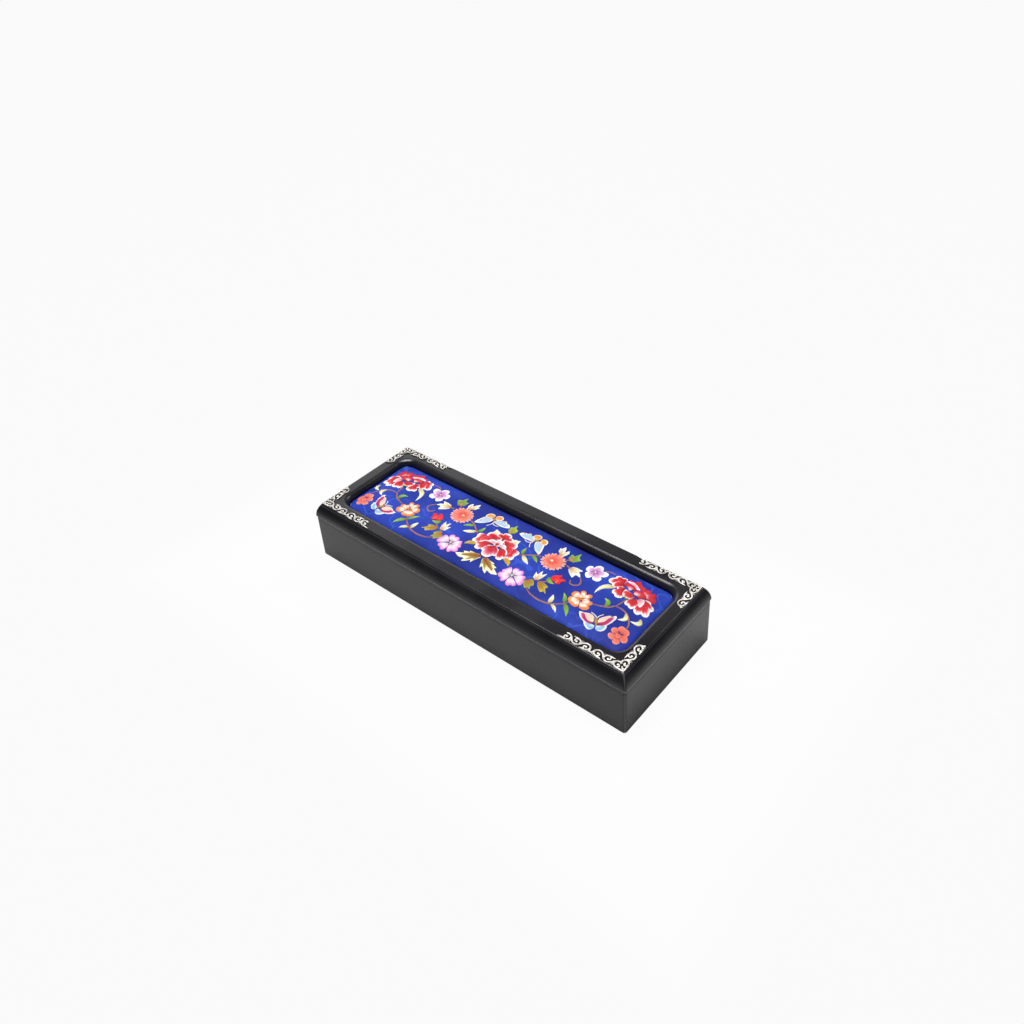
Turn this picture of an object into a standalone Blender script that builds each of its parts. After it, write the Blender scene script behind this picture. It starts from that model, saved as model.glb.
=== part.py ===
"""Hinged wooden pen case: lacquered carcass, moulded lid with a padded panel, pierced corner mounts.

Metres, +Z up, +X along the length, -Y is the front. The origin is under the middle of the case.
"""

import math

import bmesh
import bpy
from mathutils import Matrix, Vector
from mathutils.geometry import delaunay_2d_cdt

MM = 0.001

# Clearances
GAP = 0.3 * MM  # between pieces that rest on, fit in or are glued to each other
RUNNING = 0.08 * MM  # between the hinge pin and its knuckles

# Carcass: four mitred walls, a bottom board let into them, felt under it
BODY_LENGTH = 229.4 * MM
BODY_WIDTH = 80.4 * MM
WALL_HEIGHT = 27.8 * MM
WALL_THICKNESS = 6.5 * MM
BODY_CORNER_RADIUS = 1.8 * MM
EDGE_ROUND = 0.5 * MM  # rounding of the carcass edges along the parting line and the foot
BOARD_THICKNESS = 3.5 * MM
RABBET_DEPTH = 3.0 * MM  # how far the bottom board reaches under the walls' inner faces
FELT_THICKNESS = 0.6 * MM
FELT_INSET = 2.0 * MM
FELT_CORNER = 4.0 * MM

# Velvet covered linings of the compartment and of the lid
LINING_THICKNESS = 1.2 * MM
FLOOR_LINING_THICKNESS = 1.6 * MM
LINING_DROP = 0.8 * MM  # the side linings end this far below the walls' top edge
LINING_ROUND = 0.4 * MM
LID_LINING_THICKNESS = 1.2 * MM

# Lid: four rim strips under one routed board
PARTING_GAP = 0.4 * MM
RIM_HEIGHT = 1.7 * MM
LID_THICKNESS = 8.6 * MM
LIP_OVERHANG = 0.3 * MM  # how far the lid's lip stands out past the carcass
LIP_RADIUS = 0.5 * MM
MOULDING_WIDTH = 3.8 * MM  # from the lip in to the flat top, seen from above
MOULDING_BULGE = 0.9 * MM  # how far the moulded side swells out of the straight slope
MOULDING_CORNER = 0.6 * MM
TOP_BAND_ENDS = 5.7 * MM  # flat band between the moulding and the recess, at the two ends
TOP_BAND_SIDES = 6.7 * MM  # the same along the front and the back
SHOULDER_WIDTH = 3.6 * MM  # rounded edge that rolls down into the recess
SHOULDER_DEPTH = 3.2 * MM
RECESS_DEPTH = 5.2 * MM
RECESS_CORNER = 5.0 * MM  # corner radius at the foot of the shoulder

# Padded panel in the recess: card, wadding and satin cover
CARD_THICKNESS = 1.2 * MM
SATIN_THICKNESS = 0.4 * MM
SATIN_EDGE_HEIGHT = 1.6 * MM  # height of the cover's side above the card's underside
PAD_CROWN = 2.5 * MM  # rise of the cover from its edge to its middle
PAD_ROLL = 16.0 * MM  # distance from the edge over which it rises

# Two butt hinges let into the back
HINGE_INSET = 44.0 * MM  # from each end of the carcass to the middle of a hinge
HINGE_LENGTH = 20.0 * MM
HINGE_KNUCKLES = 3
KNUCKLE_RADIUS = 1.3 * MM
PIN_RADIUS = 0.6 * MM
PIVOT_INSET = 1.1 * MM  # hinge axis, in from the carcass back
LEAF_THICKNESS = 0.8 * MM
LEAF_WIDTH = 4.6 * MM  # from the hinge axis to the leaf's inner edge
SCREW_INSET = 4.0 * MM  # from the ends of a leaf
SCREW_SHANK_RADIUS = 0.6 * MM
SCREW_HEAD_RADIUS = 1.15 * MM
SCREW_LENGTH = 4.6 * MM
GROOVE_ANGLE = math.radians(54.5)  # slope of the two chamfers that stop the lid when they meet

# Pierced corner mounts: runs of three scrolls on a waving stem, two along the front or back, one along the end
MOUNT_THICKNESS = 0.5 * MM
MOUNT_MARGIN = 0.7 * MM  # from the edge of the flat top
SCROLLS_IN_RUN = 3
SCROLL_PITCH = 5.4 * MM
RUN_LEAD = 4.0 * MM  # from the start of a run to the middle of its first scroll
RUN_TAIL = 4.6 * MM  # from the middle of its last scroll to its pointed end
STEM_WIDTH = 1.0 * MM
EYE_RADIUS = 0.7 * MM  # round end in the middle of a scroll
BLADE_REACH = 2.9 * MM  # from a scroll's middle to the tip of the leaf that leaves it

# Facets
CORNER_STEPS = 6
ROUND_STEPS = 3
BARREL_SIDES = 20
SCREW_SIDES = 12
SCROLL_STEP = math.radians(30.0)
EYE_SIDES = 8

# Levels and places that follow from the sizes above
WOOD_BOTTOM = FELT_THICKNESS + GAP
WALL_TOP = WOOD_BOTTOM + WALL_HEIGHT
AXIS_Z = WALL_TOP + PARTING_GAP / 2
RIM_BOTTOM = WALL_TOP + PARTING_GAP
RIM_TOP = RIM_BOTTOM + RIM_HEIGHT
LID_BOTTOM = RIM_TOP + GAP
LID_TOP = LID_BOTTOM + LID_THICKNESS
RECESS_FLOOR = LID_TOP - RECESS_DEPTH
AXIS_Y = BODY_WIDTH / 2 - PIVOT_INSET
LIP_X = BODY_LENGTH / 2 + LIP_OVERHANG
LIP_Y = BODY_WIDTH / 2 + LIP_OVERHANG
TOP_X = LIP_X - MOULDING_WIDTH
TOP_Y = LIP_Y - MOULDING_WIDTH
FOOT_X = TOP_X - TOP_BAND_ENDS - SHOULDER_WIDTH
FOOT_Y = TOP_Y - TOP_BAND_SIDES - SHOULDER_WIDTH
INNER_X = BODY_LENGTH / 2 - WALL_THICKNESS
INNER_Y = BODY_WIDTH / 2 - WALL_THICKNESS
BOARD_TOP = WOOD_BOTTOM + BOARD_THICKNESS
MOUNT_WIDTH = min(TOP_BAND_ENDS, TOP_BAND_SIDES) - 1.3 * MOUNT_MARGIN
SCROLL_RADIUS = (MOUNT_WIDTH - STEM_WIDTH) / 2
RUN_LENGTH = RUN_LEAD + (SCROLLS_IN_RUN - 1) * SCROLL_PITCH + RUN_TAIL

COLOURS = {
    "lacquer": ((0.018, 0.017, 0.020), 0.32, 0.0),
    "felt": ((0.020, 0.020, 0.024), 0.95, 0.0),
    "velvet": ((0.030, 0.055, 0.260), 0.90, 0.0),
    "board": ((0.300, 0.210, 0.120), 0.75, 0.0),
    "card": ((0.520, 0.500, 0.450), 0.85, 0.0),
    "wadding": ((0.800, 0.790, 0.750), 0.95, 0.0),
    "satin": ((0.035, 0.070, 0.480), 0.45, 0.0),
    "silver": ((0.780, 0.770, 0.740), 0.30, 1.0),
    "brass": ((0.560, 0.400, 0.160), 0.30, 1.0),
    "screw_brass": ((0.500, 0.360, 0.150), 0.35, 1.0),
}


def clear_scene():
    """Removes every object, so that the case stands alone in the file."""
    for obj in list(bpy.data.objects):
        bpy.data.objects.remove(obj, do_unlink=True)


def new_collection(name):
    """A collection of that name, linked to the scene."""
    collection = bpy.data.collections.new(name)
    bpy.context.scene.collection.children.link(collection)
    return collection


def material(node_name, finish):
    """A Principled material for one node, from the finish table."""
    colour, roughness, metallic = COLOURS[finish]
    made = bpy.data.materials.new(f"{node_name}_{finish}")
    made.use_nodes = True
    shader = made.node_tree.nodes["Principled BSDF"]
    shader.inputs["Base Color"].default_value = (*colour, 1.0)
    shader.inputs["Roughness"].default_value = roughness
    shader.inputs["Metallic"].default_value = metallic
    made.diffuse_color = (*colour, 1.0)
    return made


def object_from(bm, name, collection):
    """Turns a bmesh into a linked object, with its faces pointing out."""
    bmesh.ops.recalc_face_normals(bm, faces=bm.faces)
    mesh = bpy.data.meshes.new(name)
    bm.to_mesh(mesh)
    bm.free()
    obj = bpy.data.objects.new(name, mesh)
    collection.objects.link(obj)
    return obj


def finish_node(obj, finish, parent=None):
    """Gives a node its material and the empty that carries it."""
    obj.data.materials.clear()
    obj.data.materials.append(material(obj.name, finish))
    if parent:
        obj.parent = parent
        obj.matrix_parent_inverse = parent.matrix_world.inverted()
    return obj


def shade_round(obj, angle=math.radians(35.0)):
    """Smooth shading, with the real edges kept sharp."""
    obj.data.shade_smooth()
    obj.data.set_sharp_from_angle(angle=angle)
    return obj


def boolean(obj, other, operation="DIFFERENCE"):
    """Adds a Boolean with another object, by the exact solver."""
    modifier = obj.modifiers.new(f"{operation.lower()}_{other.name}", "BOOLEAN")
    modifier.operation = operation
    modifier.object = other
    modifier.solver = "EXACT"


def apply_modifiers(obj):
    """Replaces an object's mesh by the one its modifiers give."""
    graph = bpy.context.evaluated_depsgraph_get()
    mesh = bpy.data.meshes.new_from_object(obj.evaluated_get(graph))
    obj.modifiers.clear()
    obj.data = mesh


def hide_cutter(obj):
    """Marks an object as a cutter, which is never rendered."""
    obj.hide_render = True
    obj.display_type = "WIRE"
    return obj


def rounded_rectangle(half_x, half_y, radius, z):
    """The points of a rectangle with round corners, the same number whatever its size."""
    radius = max(min(radius, half_x, half_y), 1e-5)
    points = []
    for corner in range(4):
        side_x = 1 if corner in (0, 3) else -1
        side_y = 1 if corner in (0, 1) else -1
        centre = Vector((side_x * (half_x - radius), side_y * (half_y - radius), z))
        for step in range(CORNER_STEPS + 1):
            angle = (corner + step / CORNER_STEPS) * math.pi / 2
            points.append(centre + radius * Vector((math.cos(angle), math.sin(angle), 0)))
    return points


def loft(sections, closed_ring=False):
    """Joins rounded rectangles into one surface.

    Each section is (half_x, half_y, radius, z). A closed ring joins the last section to the
    first, and any other loft has its two ends capped.
    """
    bm = bmesh.new()
    loops = [[bm.verts.new(point) for point in rounded_rectangle(*section)] for section in sections]
    pairs = list(zip(loops, loops[1:]))
    if closed_ring:
        pairs.append((loops[-1], loops[0]))
    for low, high in pairs:
        for index in range(len(low)):
            after = (index + 1) % len(low)
            bm.faces.new((low[index], low[after], high[after], high[index]))
    if not closed_ring:
        bm.faces.new(loops[0])
        bm.faces.new(loops[-1])
    return bm


def box(name, low, high, collection):
    """A plain box between two corners, with its place in its location."""
    bm = bmesh.new()
    size = Vector(high) - Vector(low)
    bmesh.ops.create_cube(bm, size=1.0, matrix=Matrix.Diagonal((*size, 1.0)))
    obj = object_from(bm, name, collection)
    obj.location = (Vector(low) + Vector(high)) / 2
    return obj


def round_edges(obj, width, segments=2):
    """A Bevel on all the sharp edges of a box or board."""
    modifier = obj.modifiers.new("rounded_edges", "BEVEL")
    modifier.width = width
    modifier.segments = segments
    modifier.limit_method = "ANGLE"
    return obj


def cylinder_along_x(name, centre, radius, length, sides, collection):
    """A cylinder with its axis along the case."""
    bm = bmesh.new()
    turn = Matrix.Rotation(math.pi / 2, 4, "Y")
    bmesh.ops.create_cone(
        bm, cap_ends=True, segments=sides, radius1=radius, radius2=radius, depth=length, matrix=turn
    )
    obj = object_from(bm, name, collection)
    obj.location = centre
    return obj


def turned(name, profile, sides, collection):
    """A closed turned solid from (radius, height) points that run down its outer side."""
    bm = bmesh.new()
    verts = [bm.verts.new((radius, 0, height)) for radius, height in profile]
    for first, second in zip(verts, verts[1:]):
        bm.edges.new((first, second))
    mesh = bpy.data.meshes.new(name)
    bm.to_mesh(mesh)
    bm.free()
    obj = bpy.data.objects.new(name, mesh)
    collection.objects.link(obj)
    screw = obj.modifiers.new("turned", "SCREW")
    screw.steps = sides
    screw.render_steps = sides
    screw.use_merge_vertices = True
    screw.merge_threshold = 1e-5
    return obj


def quarter_round(radius, steps=ROUND_STEPS):
    """(inset, drop) pairs of a quarter circle, from the side face round to the end face."""
    angles = [math.pi / 2 * step / steps for step in range(steps + 1)]
    return [(radius * (1 - math.cos(angle)), radius * (1 - math.sin(angle))) for angle in angles]


def wall_ring(bottom, top, round_bottom, round_top, rabbet):
    """The closed outline of a run of walls, as loft sections, from the foot up and back down inside."""
    half_x = BODY_LENGTH / 2
    half_y = BODY_WIDTH / 2
    radius = BODY_CORNER_RADIUS
    sections = []
    for inset, drop in reversed(quarter_round(round_bottom)):
        sections.append((half_x - inset, half_y - inset, radius - inset / 2, bottom + drop))
    for inset, drop in quarter_round(round_top):
        sections.append((half_x - inset, half_y - inset, radius - inset / 2, top - drop))
    corner = 0.02 * MM  # the walls' inner corners are square
    sections.append((INNER_X, INNER_Y, corner, top))
    if rabbet:
        ledge = bottom + BOARD_THICKNESS + GAP
        sections.append((INNER_X, INNER_Y, corner, ledge))
        sections.append((INNER_X + RABBET_DEPTH, INNER_Y + RABBET_DEPTH, corner, ledge))
        sections.append((INNER_X + RABBET_DEPTH, INNER_Y + RABBET_DEPTH, corner, bottom))
    else:
        sections.append((INNER_X, INNER_Y, corner, bottom))
    return sections


def keep_side(bm, point, outward):
    """Cuts a solid by a plane, keeps what lies behind it and caps the cut."""
    geometry = bm.verts[:] + bm.edges[:] + bm.faces[:]
    cut = bmesh.ops.bisect_plane(
        bm, geom=geometry, dist=1e-7, plane_co=point, plane_no=outward, clear_outer=True
    )
    edges = [item for item in cut["geom_cut"] if isinstance(item, bmesh.types.BMEdge)]
    bmesh.ops.holes_fill(bm, edges=edges, sides=0)


def mitred_walls(prefix, sections, collection):
    """Four walls cut from one ring by the mitre planes through its corners, half a gap off each."""
    corner_x = BODY_LENGTH / 2
    corner_y = BODY_WIDTH / 2
    walls = {}
    for side, normal in {
        "front": Vector((0, -1, 0)),
        "back": Vector((0, 1, 0)),
        "left": Vector((-1, 0, 0)),
        "right": Vector((1, 0, 0)),
    }.items():
        bm = loft(sections, closed_ring=True)
        across = Vector((-normal.y, normal.x, 0))
        keep_side(bm, Vector((0, 0, 0)), -normal)
        for end in (-1, 1):
            corner = Vector((
                corner_x * (normal.x + end * across.x),
                corner_y * (normal.y + end * across.y),
                0,
            ))
            outward = (end * across - normal).normalized()
            keep_side(bm, corner - outward * GAP / 2, outward)
        bmesh.ops.remove_doubles(bm, verts=bm.verts, dist=1e-6)
        walls[side] = object_from(bm, f"{prefix}_{side}_{'wall' if prefix == 'case' else 'rim'}", collection)
    return walls


def back_groove(collection):
    """The V groove along the back, whose two faces meet when the lid is fully open."""
    reach = PIVOT_INSET + LIP_OVERHANG
    half_length = BODY_LENGTH / 2 + LIP_OVERHANG
    rise = reach * math.tan(GROOVE_ANGLE)
    bm = bmesh.new()
    apex = bm.verts.new((-half_length, AXIS_Y, AXIS_Z))
    lower = bm.verts.new((-half_length, AXIS_Y + reach, AXIS_Z - rise))
    upper = bm.verts.new((-half_length, AXIS_Y + reach, AXIS_Z + rise))
    face = bm.faces.new((apex, lower, upper))
    extruded = bmesh.ops.extrude_face_region(bm, geom=[face])
    moved = [item for item in extruded["geom"] if isinstance(item, bmesh.types.BMVert)]
    bmesh.ops.translate(bm, verts=moved, vec=(2 * half_length, 0, 0))
    return hide_cutter(object_from(bm, "cut_back_groove", collection))


def hinge_places():
    """The middle of each hinge along the case, by side."""
    place = BODY_LENGTH / 2 - HINGE_INSET
    return {"left": -place, "right": place}


def screw_places():
    """The screws' places along a hinge, from its middle."""
    place = HINGE_LENGTH / 2 - SCREW_INSET
    return (-place, place)


def screw_line():
    """The screws' distance in front of the hinge axis, midway along the flat of the leaf."""
    return (KNUCKLE_RADIUS + GAP + LEAF_WIDTH) / 2


def mortise_cutters(collection):
    """Cutters for the hinge mortises and the screws' pilot holes, as one set per side and direction."""
    cutters = {"down": [], "up": []}
    for side, middle in hinge_places().items():
        half = HINGE_LENGTH / 2 + GAP
        barrel = cylinder_along_x(
            f"cut_barrel_{side}", (middle, AXIS_Y, AXIS_Z), KNUCKLE_RADIUS + GAP, 2 * half, BARREL_SIDES,
            collection,
        )
        hide_cutter(barrel)
        for direction, sign in (("down", -1), ("up", 1)):
            near = AXIS_Z
            far = AXIS_Z + sign * (PARTING_GAP / 2 + LEAF_THICKNESS + GAP)
            leaf = box(
                f"cut_leaf_{direction}_{side}",
                (middle - half, AXIS_Y - LEAF_WIDTH - GAP, min(near, far)),
                (middle + half, AXIS_Y, max(near, far)),
                collection,
            )
            cutters[direction] += [hide_cutter(leaf), barrel]
            for number, offset in enumerate(screw_places()):
                length = SCREW_LENGTH + GAP
                hole = turned(
                    f"cut_screw_{direction}_{side}_{number}",
                    [(0, length), (SCREW_SHANK_RADIUS + GAP, length), (SCREW_SHANK_RADIUS + GAP, 0), (0, 0)],
                    SCREW_SIDES,
                    collection,
                )
                hole.location = (middle + offset, AXIS_Y - screw_line(), near)
                if sign < 0:
                    hole.rotation_euler = (math.pi, 0, 0)
                cutters[direction].append(hide_cutter(hole))
    return cutters


def make_carcass(case, cutters, groove, mortises):
    """Walls, bottom board and felt."""
    walls = mitred_walls("case", wall_ring(WOOD_BOTTOM, WALL_TOP, EDGE_ROUND, EDGE_ROUND, True), case)
    for side in ("back", "left", "right"):
        boolean(walls[side], groove)
    for cutter in mortises["down"]:
        boolean(walls["back"], cutter)
    for wall in walls.values():
        finish_node(wall, "lacquer")

    board = box(
        "bottom_board",
        (-INNER_X - RABBET_DEPTH + GAP, -INNER_Y - RABBET_DEPTH + GAP, WOOD_BOTTOM),
        (INNER_X + RABBET_DEPTH - GAP, INNER_Y + RABBET_DEPTH - GAP, BOARD_TOP),
        case,
    )
    finish_node(board, "board")

    half_x = BODY_LENGTH / 2 - FELT_INSET
    half_y = BODY_WIDTH / 2 - FELT_INSET
    felt = object_from(
        loft([(half_x, half_y, FELT_CORNER, 0), (half_x, half_y, FELT_CORNER, FELT_THICKNESS)]),
        "base_felt", case,
    )
    finish_node(felt, "felt")


def make_linings(case):
    """Velvet covered boards on the floor and the four sides of the compartment."""
    bottom = BOARD_TOP + GAP
    top = WALL_TOP - LINING_DROP
    outer_x = INNER_X - GAP
    outer_y = INNER_Y - GAP
    inner_x = outer_x - LINING_THICKNESS
    inner_y = outer_y - LINING_THICKNESS
    boards = {
        "front_lining": ((-outer_x, -outer_y, bottom), (outer_x, -inner_y, top)),
        "back_lining": ((-outer_x, inner_y, bottom), (outer_x, outer_y, top)),
        "left_lining": ((-outer_x, -inner_y + GAP, bottom), (-inner_x, inner_y - GAP, top)),
        "right_lining": ((inner_x, -inner_y + GAP, bottom), (outer_x, inner_y - GAP, top)),
        "floor_lining": (
            (-inner_x + GAP, -inner_y + GAP, bottom),
            (inner_x - GAP, inner_y - GAP, bottom + FLOOR_LINING_THICKNESS),
        ),
    }
    for name, (low, high) in boards.items():
        finish_node(round_edges(box(name, low, high, case), LINING_ROUND), "velvet")


def moulding_sections():
    """The lid board's outside, from its underside round the lip and up the swelling side."""
    inner = MOULDING_WIDTH
    lip_top = LID_BOTTOM + 2 * LIP_RADIUS
    sections = [(LIP_X - LIP_RADIUS, LIP_Y - LIP_RADIUS, MOULDING_CORNER, LID_BOTTOM)]
    for step in range(1, 2 * ROUND_STEPS):
        angle = math.pi * (step / (2 * ROUND_STEPS)) - math.pi / 2
        out = LIP_RADIUS * (1 - math.cos(angle))
        height = LID_BOTTOM + LIP_RADIUS * (1 + math.sin(angle))
        if height > lip_top - LIP_RADIUS / 2:
            break
        sections.append((LIP_X - out, LIP_Y - out, MOULDING_CORNER, height))
    start_out = LIP_X - sections[-1][0]
    start_z = sections[-1][3]
    slope_steps = 5
    run = inner - start_out
    rise = LID_TOP - start_z
    length = math.hypot(run, rise)
    for step in range(1, slope_steps + 1):
        along = step / slope_steps
        bulge = MOULDING_BULGE * 4 * along * (1 - along)
        out = start_out + run * along - bulge * rise / length
        height = start_z + rise * along + bulge * run / length
        sections.append((LIP_X - out, LIP_Y - out, MOULDING_CORNER, height))
    return sections


def shoulder_sections():
    """The inside of the lid board, from the flat top over the rounded shoulder to the recess floor."""
    sections = []
    shoulder_steps = 5
    for step in range(shoulder_steps + 1):
        angle = math.pi / 2 * step / shoulder_steps
        inward = SHOULDER_WIDTH * (1 - math.sin(angle))
        drop = SHOULDER_DEPTH * (1 - math.cos(angle))
        sections.append((FOOT_X + inward, FOOT_Y + inward, RECESS_CORNER + inward, LID_TOP - drop))
    sections.append((FOOT_X, FOOT_Y, RECESS_CORNER, RECESS_FLOOR))
    return sections


def make_lid(case, pivot, groove, mortises):
    """The routed board, the four rim strips under it and the lining between them."""
    board = object_from(loft(moulding_sections() + shoulder_sections()), "lid_board", case)
    for cutter in mortises["up"]:
        if cutter.name.startswith("cut_screw"):
            boolean(board, cutter)
    finish_node(shade_round(board, math.radians(25.0)), "lacquer", pivot)

    rims = mitred_walls("lid", wall_ring(RIM_BOTTOM, RIM_TOP, EDGE_ROUND, EDGE_ROUND / 4, False), case)
    for side in ("back", "left", "right"):
        boolean(rims[side], groove)
    for cutter in mortises["up"]:
        boolean(rims["back"], cutter)
    for rim in rims.values():
        finish_node(rim, "lacquer", pivot)

    half_x = INNER_X - GAP
    half_y = INNER_Y - GAP
    top = LID_BOTTOM - GAP
    lining = box("lid_lining", (-half_x, -half_y, top - LID_LINING_THICKNESS), (half_x, half_y, top), case)
    finish_node(round_edges(lining, LINING_ROUND), "velvet", pivot)


def crown_sections(half_x, half_y, radius, edge_z, crown):
    """Loft sections of a pad that rises from its edge to a nearly flat middle."""
    sections = []
    roll = min(PAD_ROLL, half_y * 0.8)
    for part in (0.0, 0.03, 0.1, 0.25, 0.5, 1.0):
        inset = roll * part
        height = crown * math.sin(math.pi / 2 * part ** 0.5)
        sections.append((half_x - inset, half_y - inset, max(radius - inset, MM), edge_z + height))
    return sections


def make_panel(case, pivot):
    """The padded panel: card, wadding and the satin cover wrapped over both."""
    outer_x = FOOT_X - GAP
    outer_y = FOOT_Y - GAP
    radius = RECESS_CORNER - GAP
    bottom = RECESS_FLOOR + GAP
    edge = bottom + SATIN_EDGE_HEIGHT
    inner_x = outer_x - SATIN_THICKNESS
    inner_y = outer_y - SATIN_THICKNESS
    inner_radius = radius - SATIN_THICKNESS
    cover = [(outer_x, outer_y, radius, bottom)]
    cover += crown_sections(outer_x, outer_y, radius, edge, PAD_CROWN)
    hollow = crown_sections(inner_x, inner_y, inner_radius, edge - SATIN_THICKNESS, PAD_CROWN)
    hollow.insert(0, (inner_x, inner_y, inner_radius, bottom))
    satin = object_from(join_shell(cover, hollow), "panel_satin", case)
    finish_node(shade_round(satin, math.radians(50.0)), "satin", pivot)

    half_x = inner_x - GAP
    half_y = inner_y - GAP
    card_radius = inner_radius - GAP
    card = object_from(
        loft([(half_x, half_y, card_radius, bottom), (half_x, half_y, card_radius, bottom + CARD_THICKNESS)]),
        "panel_card", case,
    )
    finish_node(card, "card", pivot)

    low = bottom + CARD_THICKNESS + GAP
    rise = edge - SATIN_THICKNESS - GAP + PAD_CROWN - low
    wadding = [(half_x, half_y, card_radius, low)]
    wadding += crown_sections(half_x, half_y, card_radius, low, rise)[1:]
    finish_node(object_from(loft(wadding), "panel_wadding", case), "wadding", pivot)


def join_shell(outside, inside):
    """One closed skin from two lofts with open feet that lie at the same height."""
    bm = bmesh.new()
    rims = []
    for sections in (outside, inside):
        loops = [[bm.verts.new(point) for point in rounded_rectangle(*section)] for section in sections]
        for low, high in zip(loops, loops[1:]):
            for index in range(len(low)):
                after = (index + 1) % len(low)
                bm.faces.new((low[index], low[after], high[after], high[index]))
        bm.faces.new(loops[-1])
        rims.append(loops[0])
    for index in range(len(rims[0])):
        after = (index + 1) % len(rims[0])
        bm.faces.new((rims[0][index], rims[0][after], rims[1][after], rims[1][index]))
    return bm


def knuckle_spans():
    """(low, high) of each knuckle along a hinge, from its middle, with a gap between neighbours."""
    pitch = HINGE_LENGTH / HINGE_KNUCKLES
    spans = []
    for number in range(HINGE_KNUCKLES):
        low = -HINGE_LENGTH / 2 + number * pitch
        spans.append((low + GAP / 2, low + pitch - GAP / 2))
    return spans


def leaf_outline(own):
    """The leaf's outline from above: a plate with a tongue for each of its own knuckles."""
    notch = -KNUCKLE_RADIUS - GAP
    points = [(-HINGE_LENGTH / 2, -LEAF_WIDTH), (HINGE_LENGTH / 2, -LEAF_WIDTH)]
    edge = [(-HINGE_LENGTH / 2, notch)]
    for number, (low, high) in enumerate(knuckle_spans()):
        if number not in own:
            continue
        low = -HINGE_LENGTH / 2 if number == 0 else low
        high = HINGE_LENGTH / 2 if number == HINGE_KNUCKLES - 1 else high
        if number == 0:
            edge = []
        else:
            edge.append((low, notch))
        edge += [(low, 0), (high, 0)]
        if number < HINGE_KNUCKLES - 1:
            edge.append((high, notch))
    if HINGE_KNUCKLES - 1 not in own:
        edge.append((HINGE_LENGTH / 2, notch))
    return points + edge[::-1]


def flat_solid(name, points, thickness, z, collection):
    """A flat outline as a 2D curve, filled both sides, given its thickness and made a mesh."""
    curve = bpy.data.curves.new(name, "CURVE")
    curve.dimensions = "2D"
    curve.fill_mode = "BOTH"
    curve.extrude = thickness / 2
    spline = curve.splines.new("POLY")
    spline.points.add(len(points) - 1)
    for point, (x, y) in zip(spline.points, points):
        point.co = (x, y, 0, 1)
    spline.use_cyclic_u = True
    guide = bpy.data.objects.new(f"{name}_outline", curve)
    collection.objects.link(guide)
    graph = bpy.context.evaluated_depsgraph_get()
    mesh = bpy.data.meshes.new_from_object(guide.evaluated_get(graph))
    bpy.data.objects.remove(guide, do_unlink=True)
    bm = bmesh.new()
    bm.from_mesh(mesh)
    bmesh.ops.remove_doubles(bm, verts=bm.verts, dist=1e-6)
    bmesh.ops.translate(bm, verts=bm.verts, vec=(0, 0, z))
    return object_from(bm, name, collection)


def hinge_leaf(name, own, sign, collection, cutters):
    """One leaf at the origin of its hinge: plate, knuckles, pin bore and countersunk holes."""
    z = sign * (PARTING_GAP / 2 + LEAF_THICKNESS / 2)
    leaf = flat_solid(name, leaf_outline(own), LEAF_THICKNESS, z, collection)
    tools = []
    for number in own:
        low, high = knuckle_spans()[number]
        low = -HINGE_LENGTH / 2 if number == 0 else low
        high = HINGE_LENGTH / 2 if number == HINGE_KNUCKLES - 1 else high
        knuckle = cylinder_along_x(
            f"{name}_knuckle_{number}", ((low + high) / 2, 0, 0), KNUCKLE_RADIUS, high - low, BARREL_SIDES,
            cutters,
        )
        boolean(leaf, knuckle, "UNION")
        tools.append(knuckle)
    bore = cylinder_along_x(
        f"{name}_bore", (0, 0, 0), PIN_RADIUS + RUNNING, HINGE_LENGTH + MM, BARREL_SIDES, cutters
    )
    boolean(leaf, bore)
    tools.append(bore)
    for number, offset in enumerate(screw_places()):
        head = screw_head_height()
        profile = [
            (0, MM),
            (SCREW_HEAD_RADIUS + GAP / 2 + MM, MM),
            (SCREW_HEAD_RADIUS + GAP / 2, 0),
            (SCREW_SHANK_RADIUS + GAP / 2, -head),
            (SCREW_SHANK_RADIUS + GAP / 2, -LEAF_THICKNESS - MM),
            (0, -LEAF_THICKNESS - MM),
        ]
        hole = turned(f"{name}_hole_{number}", profile, SCREW_SIDES, cutters)
        hole.location = (offset, -screw_line(), sign * PARTING_GAP / 2)
        if sign > 0:
            hole.rotation_euler = (math.pi, 0, 0)
        boolean(leaf, hole)
        tools.append(hole)
    bpy.context.view_layer.update()
    apply_modifiers(leaf)
    for tool in tools:
        bpy.data.objects.remove(tool, do_unlink=True)
    return leaf


def screw_head_height():
    """Height of the countersunk head, whose side slopes at 45 degrees."""
    return SCREW_HEAD_RADIUS - SCREW_SHANK_RADIUS


def make_hinges(case, pivot, cutters):
    """Two hinges of two leaves and a pin each."""
    lid_own = [number for number in range(HINGE_KNUCKLES) if number % 2]
    case_own = [number for number in range(HINGE_KNUCKLES) if number % 2 == 0]
    case_leaf = hinge_leaf("left_hinge_case_leaf", case_own, -1, case, cutters)
    lid_leaf = hinge_leaf("left_hinge_lid_leaf", lid_own, 1, case, cutters)
    for side, middle in hinge_places().items():
        for pattern, kind, carrier in ((case_leaf, "case_leaf", None), (lid_leaf, "lid_leaf", pivot)):
            leaf = pattern
            if side == "right":
                leaf = bpy.data.objects.new(f"right_hinge_{kind}", pattern.data)
                case.objects.link(leaf)
            leaf.location = (middle, AXIS_Y, AXIS_Z)
            bpy.context.view_layer.update()
            if side == "left":
                finish_node(leaf, "brass", carrier)
            elif carrier:
                leaf.parent = carrier
                leaf.matrix_parent_inverse = carrier.matrix_world.inverted()
        pin = cylinder_along_x(
            f"{side}_hinge_pin", (middle, AXIS_Y, AXIS_Z), PIN_RADIUS, HINGE_LENGTH - GAP, SCREW_SIDES, case
        )
        finish_node(shade_round(pin), "brass")


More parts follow.
